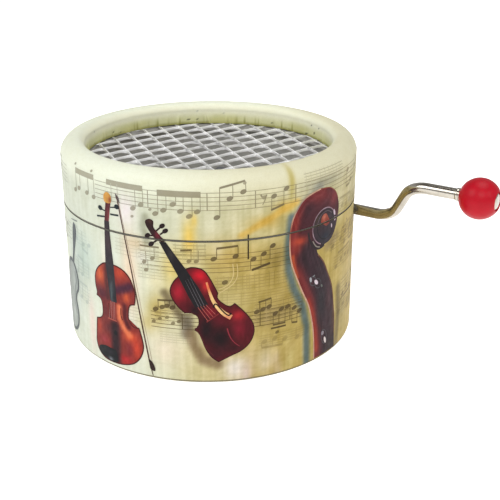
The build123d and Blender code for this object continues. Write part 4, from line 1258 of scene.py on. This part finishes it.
def back_instruments(art):
    """The unseen half: more of the same kind of pictures."""
    pictures = (
        # top of the body, tilt, size, neck, base, patches, brush, seed, edge, tones
        ((60.4, 20.4), 12, (17.6, 10.6), 7.0, (186, 96, 50), [
            (60.0, 17.0, 2.0, 2.4, (222, 136, 70), 0.8), (64.0, 8.0, 2.2, 3.0, (120, 40, 48), 0.8),
            (59.0, 6.0, 1.8, 2.4, (212, 110, 64), 0.8)],
         14, 12, (96, 34, 30), ((44, 46, 52), (96, 118, 124), (104, 40, 34), (196, 132, 62))),
        ((-60.2, 20.2), 18, (17.4, 10.4), 7.0, (128, 26, 40), [
            (-60.0, 17.0, 1.8, 2.2, (188, 40, 56), 0.8), (-57.0, 7.0, 2.4, 2.4, (60, 16, 26), 0.8),
            (-62.0, 8.0, 1.6, 2.4, (162, 40, 52), 0.8)],
         12, 13, (66, 16, 22), ((34, 32, 36), (84, 84, 92), (70, 28, 34), (130, 60, 50))),
        ((80.8, 19.8), -14, (17.4, 10.4), 6.8, (150, 74, 44), [
            (80.0, 15.0, 2.0, 2.4, (190, 110, 62), 0.8), (83.0, 7.0, 2.4, 3.0, (96, 40, 36), 0.8)],
         14, 14, (84, 36, 28), ((46, 42, 44), (98, 98, 100), (96, 44, 34), (176, 116, 60))),
    )
    for at, tilt, size, neck, base, patches, brush, seed, edge, tones in pictures:
        fiddle(art, at, tilt, *size, shaded(base, patches, brush, seed), edge, neck, tones)
    art.line([(70.8, 32.4), (69.0, 16.0), (68.4, 1.4)], (0.2, 0.28), LIFT_DETAIL, flat((92, 66, 56)))
    art.line([(71.1, 32.0), (69.5, 16.0), (68.8, 3.2)], 0.09, LIFT_NOTE, flat((160, 134, 112)))


def make_prints(materials):
    groups = {
        "music": (faint_music, front_lid_music, front_lower_music, side_and_back_music),
        "violin_upright": (upright_violin,),
        "bow": (bow,),
        "violin_crimson": (crimson_violin,),
        "scroll": (big_scroll,),
        "pencil_violin": (pencil_violin,),
        "back_pictures": (back_instruments,),
    }
    for name, painters in groups.items():
        art = Print()
        for painter in painters:
            painter(art)
        for body in ("base", "lid"):
            art.build(f"print_{name}_{body}", body, materials)


# --------------------------------------------------------- expanded metal

SHORT, LONG, MESH_TURN = 4.4, 6.2, math.radians(20)  # the CAD's own diamonds
LEAN = -0.12
MESH_SHIFT = Vector((-2.0, 4.5))
CELL_POINTS = 24


def cell_loop(scale_short, scale_long, bulge):
    """Points round one diamond, its sides bowed outwards by bulge."""
    out = []
    tips = [(1, 0), (0, 1), (-1, 0), (0, -1), (1, 0)]
    for k in range(CELL_POINTS):
        t = 4 * k / CELL_POINTS
        side, f = int(t), t - int(t)
        x, y = mix(tips[side], tips[side + 1], f)
        swell = 1 + bulge * math.sin(math.pi * f)
        out.append((x * scale_short * swell, y * scale_long * swell))
    return out


CELL_RINGS = (
    # share of the short half, share of the long half, bow of the sides, height above the middle
    (1.0, 1.0, 0.0, 0.28),
    (0.945, 0.90, 0.02, 0.26),
    (0.895, 0.82, 0.06, -0.06),
    (0.905, 0.83, 0.06, -0.16),
    (1.0, 1.0, 0.0, -0.22),
)


def mesh_cell_rings(made, centre, turn):
    """The rings of one diamond of the expanded metal, from the crest of its strands to their underside."""
    rings = []
    for short, long, bow, height in CELL_RINGS:
        ring = []
        for x, y in cell_loop(SHORT / 2 * short, LONG / 2 * long, bow):
            p = turn @ (centre + Vector((x + LEAN * height, y))) + MESH_SHIFT
            flat_share = 1 - ramp(RIM_R - 1.0, RIM_R - 0.2, p.length)
            sag = 0.05 * grain(p.x * 0.5, p.y * 0.5, 3.0)
            knuckle = 0.10 * (abs(y) / (LONG / 2)) ** 3
            lift = height * (0.35 + 0.65 * flat_share) + (sag - knuckle) * flat_share
            ring.append(made.verts.new((p.x, p.y, MESH_TOP - 0.15 + lift)))
        rings.append(ring)
    return rings


def make_mesh_disc(materials):
    """The expanded metal: slit and stretched strands, inside a flat margin that the rim hides."""
    turn = Matrix.Rotation(MESH_TURN, 2)
    made = bmesh.new()
    reach = 12
    for i in range(-2 * reach, 2 * reach + 1):
        for j in range(-reach, reach + 1):
            centre = Vector((SHORT * i + SHORT / 2 * j, LONG / 2 * j))
            if (turn @ centre + MESH_SHIFT).length > RIM_R + 3.5:
                continue
            rings = mesh_cell_rings(made, centre, turn)
            for upper, lower in zip(rings, rings[1:]):
                for k in range(CELL_POINTS):
                    m = (k + 1) % CELL_POINTS
                    made.faces.new((upper[k], upper[m], lower[m], lower[k]))
    bmesh.ops.remove_doubles(made, verts=made.verts, dist=0.02)
    trim_round(made, RIM_R + 0.9)
    bmesh.ops.holes_fill(made, edges=[e for e in made.edges if e.is_boundary], sides=0)
    bmesh.ops.recalc_face_normals(made, faces=made.faces)
    for v in made.verts:
        v.co *= MM
    obj = bpy.data.objects.new("mesh_strands", mesh_from(made, "mesh_strands"))
    place(obj, "lid", materials["mesh"], 40)
    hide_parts("mesh_disc")


def trim_round(made, radius):
    """Cuts away what lies outside a circle, by a ring of planes."""
    planes = 72
    for k in range(planes):
        out = polar(1, 2 * math.pi * k / planes)
        cut_plane(made, out * radius, out, True)


# ------------------------------------------------------------- the crank

WIRE_R = 1.0
BEND_R = 5.0
ARM_START_X, ARM_END_X = 31.8, 36.8
WIRE_START_X = box_mm("crank_wire")[0].x
WIRE_END_X = box_mm("crank_wire")[1].x
WIRE_SIDES, BALL_SIDES, BALL_STEPS = 40, 72, 48
HEAD_R, HEAD_T = 1.45, 0.7
CRIMP_R, CRIMP_LENGTH = 1.13, 0.6
CORE_R = 0.9                # where the turned ends are buried in the wire
BORE_R, POCKET_R, SEAT = 1.09, 1.52, 2.3
BALL_R = (KNOB_HIGH.z - KNOB_LOW.z) / 2 - 0.005


def rounded_route(corners, radius):
    """A line through corners with true arcs of the given radius."""
    out = [corners[0]]
    for a, b, c in zip(corners, corners[1:], corners[2:]):
        back, ahead = (a - b).normalized(), (c - b).normalized()
        half = back.angle(ahead) / 2
        cut = radius / math.tan(half)
        start, end = b + back * cut, b + ahead * cut
        centre = b + (back + ahead).normalized() * (radius / math.sin(half))
        sweep = math.pi - 2 * half
        normal = (start - centre).cross(end - centre).normalized()
        for k in range(13):
            out.append(centre + Matrix.Rotation(sweep * k / 12, 3, normal) @ (start - centre))
    return out + [corners[-1]]


def tube(path, radii, sides):
    """Vertices and faces of a capped tube along a path that stays in one plane."""
    plane = (path[1] - path[0]).cross(path[len(path) // 2] - path[0]).normalized()
    verts, faces = [], []
    for i, p in enumerate(path):
        along = (path[min(i + 1, len(path) - 1)] - path[max(i - 1, 0)]).normalized()
        across = along.cross(plane).normalized()
        for k in range(sides):
            a = 2 * math.pi * k / sides
            verts.append(p + (across * math.cos(a) + plane * math.sin(a)) * radii[i])
    for i in range(len(path) - 1):
        for k in range(sides):
            m = (k + 1) % sides
            faces.append((i * sides + k, i * sides + m, (i + 1) * sides + m, (i + 1) * sides + k))
    faces.append(tuple(range(sides)))
    faces.append(tuple((len(path) - 1) * sides + k for k in range(sides)))
    return verts, faces


def make_crank_wire(materials):
    """The bent wire, with a crimp in front of the ball and a rivet head behind it."""
    arm = KNOB_AXIS - CRANK_AXIS
    arm.x = 0
    start, bend, rise, end = (
        Vector((x, CRANK_AXIS.y, CRANK_AXIS.z))
        for x in (WIRE_START_X, ARM_START_X, ARM_END_X, WIRE_END_X - 0.5)
    )
    path = rounded_route([start, bend, rise + arm, end + arm], BEND_R)
    dense = []
    for a, b in zip(path, path[1:]):
        cuts = max(1, math.ceil((b - a).length / 0.45))
        dense += [a.lerp(b, k / cuts) for k in range(cuts)]
    dense.append(path[-1])
    radii = [WIRE_R * (1 + 0.012 * noise.noise(p * 0.7)) for p in dense]
    verts, faces = tube(dense, radii, WIRE_SIDES)
    for profile in (crimp_profile(), head_profile()):
        more, more_faces = turned(profile, end + arm, WIRE_SIDES)
        faces += [tuple(i + len(verts) for i in face) for face in more_faces]
        verts += more
    obj = new_object("crank_wire_plated", verts, faces, "crank", materials["nickel"])
    fix_normals(obj)
    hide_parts("crank_wire")


def crimp_profile():
    start = KNOB_AXIS.x - BALL_R - CRIMP_LENGTH
    end = start + CRIMP_LENGTH
    return [(start, CORE_R), (start + 0.05, 1.06), (start + 0.18, CRIMP_R), (end - 0.1, CRIMP_R),
            (end, 1.06),
            (end, CORE_R)]


def head_profile():
    end = WIRE_END_X
    start = end - HEAD_T
    return [(start, CORE_R), (start, 1.38), (start + 0.1, HEAD_R), (end - 0.42, HEAD_R),
            (end - 0.2, 1.36), (end - 0.06, 1.1), (end, 0.7), (end, 0.02)]


def turned(profile, axis, count):
    """Vertices and faces of a profile (x, radius) turned about a line along X."""
    verts, faces = [], []
    n = len(profile)
    for i in range(count):
        a = 2 * math.pi * i / count
        for x, r in profile:
            verts.append(Vector((x, axis.y + r * math.cos(a), axis.z + r * math.sin(a))))
    for i in range(count):
        j = (i + 1) % count
        for k in range(n - 1):
            faces.append((i * n + k, i * n + k + 1, j * n + k + 1, j * n + k))
    return verts, faces


def make_ball(materials):
    """The red ball: a true sphere with a drilled bore, an eased mouth and a recess for the rivet head."""
    middle = KNOB_AXIS.x
    start, end = math.asin((BORE_R + 0.12) / BALL_R), math.pi - math.asin((POCKET_R + 0.1) / BALL_R)
    turns = [start + (end - start) * k / BALL_STEPS for k in range(BALL_STEPS + 1)]
    profile = [(middle - BALL_R * math.cos(a), BALL_R * math.sin(a)) for a in turns]
    mouth, floor = profile[-1][0] - 0.12, middle + SEAT
    profile += [(mouth, POCKET_R), (floor, POCKET_R), (floor, BORE_R), (middle - BALL_R + 0.3, BORE_R)]
    verts, faces = turned(profile, KNOB_AXIS, BALL_SIDES)
    n = len(profile)
    for i in range(BALL_SIDES):
        j = (i + 1) % BALL_SIDES
        faces.append((i * n + n - 1, i * n, j * n, j * n + n - 1))
    obj = new_object("knob_ball", verts, faces, "knob", materials["ball"], 30)
    fix_normals(obj)
    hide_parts("crank_knob")


# ------------------------------------------------------------- the studio


def make_floor(materials):
    """A wide pale floor just under the box."""
    size, steps = 2400, 24
    marks = [size * (k / steps - 0.5) for k in range(steps + 1)]
    verts = [(x * MM, y * MM, -0.02 * MM) for x in marks for y in marks]
    faces = []
    for i in range(steps):
        for j in range(steps):
            a = i * (steps + 1) + j
            faces.append((a, a + steps + 1, a + steps + 2, a + 1))
    data = bpy.data.meshes.new("floor")
    data.from_pydata(verts, [], faces)
    data.materials.append(materials["floor"])
    floor = bpy.data.objects.new("floor", data)
    bpy.context.scene.collection.objects.link(floor)


def add_light(name, azimuth, elevation, distance, size, watts):
    """A round soft box aimed at the middle of the object."""
    light = bpy.data.lights.new(name, "AREA")
    light.shape, light.size, light.energy = "DISK", size, watts
    obj = bpy.data.objects.new(name, light)
    a, e = math.radians(azimuth), math.radians(elevation)
    out = Vector((math.cos(e) * math.cos(a), math.cos(e) * math.sin(a), math.sin(e)))
    aim = Vector((0.006, 0, 0.02))
    obj.location = aim + out * distance
    obj.rotation_euler = out.to_track_quat("Z", "Y").to_euler()
    bpy.context.scene.collection.objects.link(obj)


def make_studio(materials):
    make_floor(materials)
    for box in (
        # name, azimuth, elevation, distance in metres, size in metres, watts
        ("top_soft_box", 60, 78, 0.55, 0.42, 1.15),
        ("left_soft_box", -126, 40, 0.55, 0.34, 0.95),
        ("right_soft_box", -8, 34, 0.6, 0.30, 0.42),
        ("front_soft_box", -58, 40, 0.7, 0.40, 1.3),
    ):
        add_light(*box)
    make_sky()
    bpy.context.scene.view_settings.view_transform = "Standard"


def make_sky():
    """A soft sky, lightest a little above the horizon, which the plated wire reflects."""
    world = bpy.data.worlds.new("studio")
    bpy.context.scene.world = world
    world.use_nodes = True
    tree = world.node_tree
    where = tree.nodes.new("ShaderNodeTexCoord")
    split = tree.nodes.new("ShaderNodeSeparateXYZ")
    tree.links.new(where.outputs["Generated"], split.inputs[0])
    shade = tree.nodes.new("ShaderNodeValToRGB")
    tree.links.new(split.outputs["Z"], shade.inputs[0])
    stops = shade.color_ramp.elements
    stops[0].position, stops[0].color = 0.0, (0.75, 0.75, 0.75, 1)
    stops[1].position, stops[1].color = 0.85, (0.28, 0.27, 0.25, 1)
    middle = stops.new(0.45)
    middle.color = (1.0, 1.0, 1.0, 1)
    background = tree.nodes["Background"]
    tree.links.new(shade.outputs[0], background.inputs["Color"])
    background.inputs["Strength"].default_value = 0.5


def make_camera():
    """The photograph's camera: 22 degrees above the box, 36 degrees round from the -Y side."""
    elevation, yaw, roll, around = 0.384944, 0.042052, -0.015605, math.radians(36)
    place_mm = Vector((0, -165.226, 80.518))
    ahead = Vector((0, math.cos(elevation), -math.sin(elevation)))
    above = Vector((0, math.sin(elevation), math.cos(elevation)))
    side = Vector((1, 0, 0))
    look = ahead * math.cos(yaw) + side * math.sin(yaw)
    level = side * math.cos(yaw) - ahead * math.sin(yaw)
    right = level * math.cos(roll) + above * math.sin(roll)
    up = above * math.cos(roll) - level * math.sin(roll)
    turn = Matrix.Rotation(around, 3, "Z")
    axes = Matrix((turn @ right, turn @ up, turn @ -look)).transposed()
    data = bpy.data.cameras.new("camera")
    data.lens, data.sensor_width = 66.75, 36
    data.clip_start, data.clip_end = 0.01, 20
    camera = bpy.data.objects.new("camera", data)
    camera.matrix_world = Matrix.Translation(turn @ place_mm * MM) @ axes.to_4x4()
    bpy.context.scene.collection.objects.link(camera)
    bpy.context.scene.camera = camera


# ------------------------------------------------------------------- build

make_camera()
MATERIALS = make_materials()
make_studio(MATERIALS)
dress_cad_nodes(MATERIALS)
make_lower_wrap(MATERIALS)
make_lid_wrap(MATERIALS)
make_prints(MATERIALS)
make_mesh_disc(MATERIALS)
make_crank_wire(MATERIALS)
make_ball(MATERIALS)
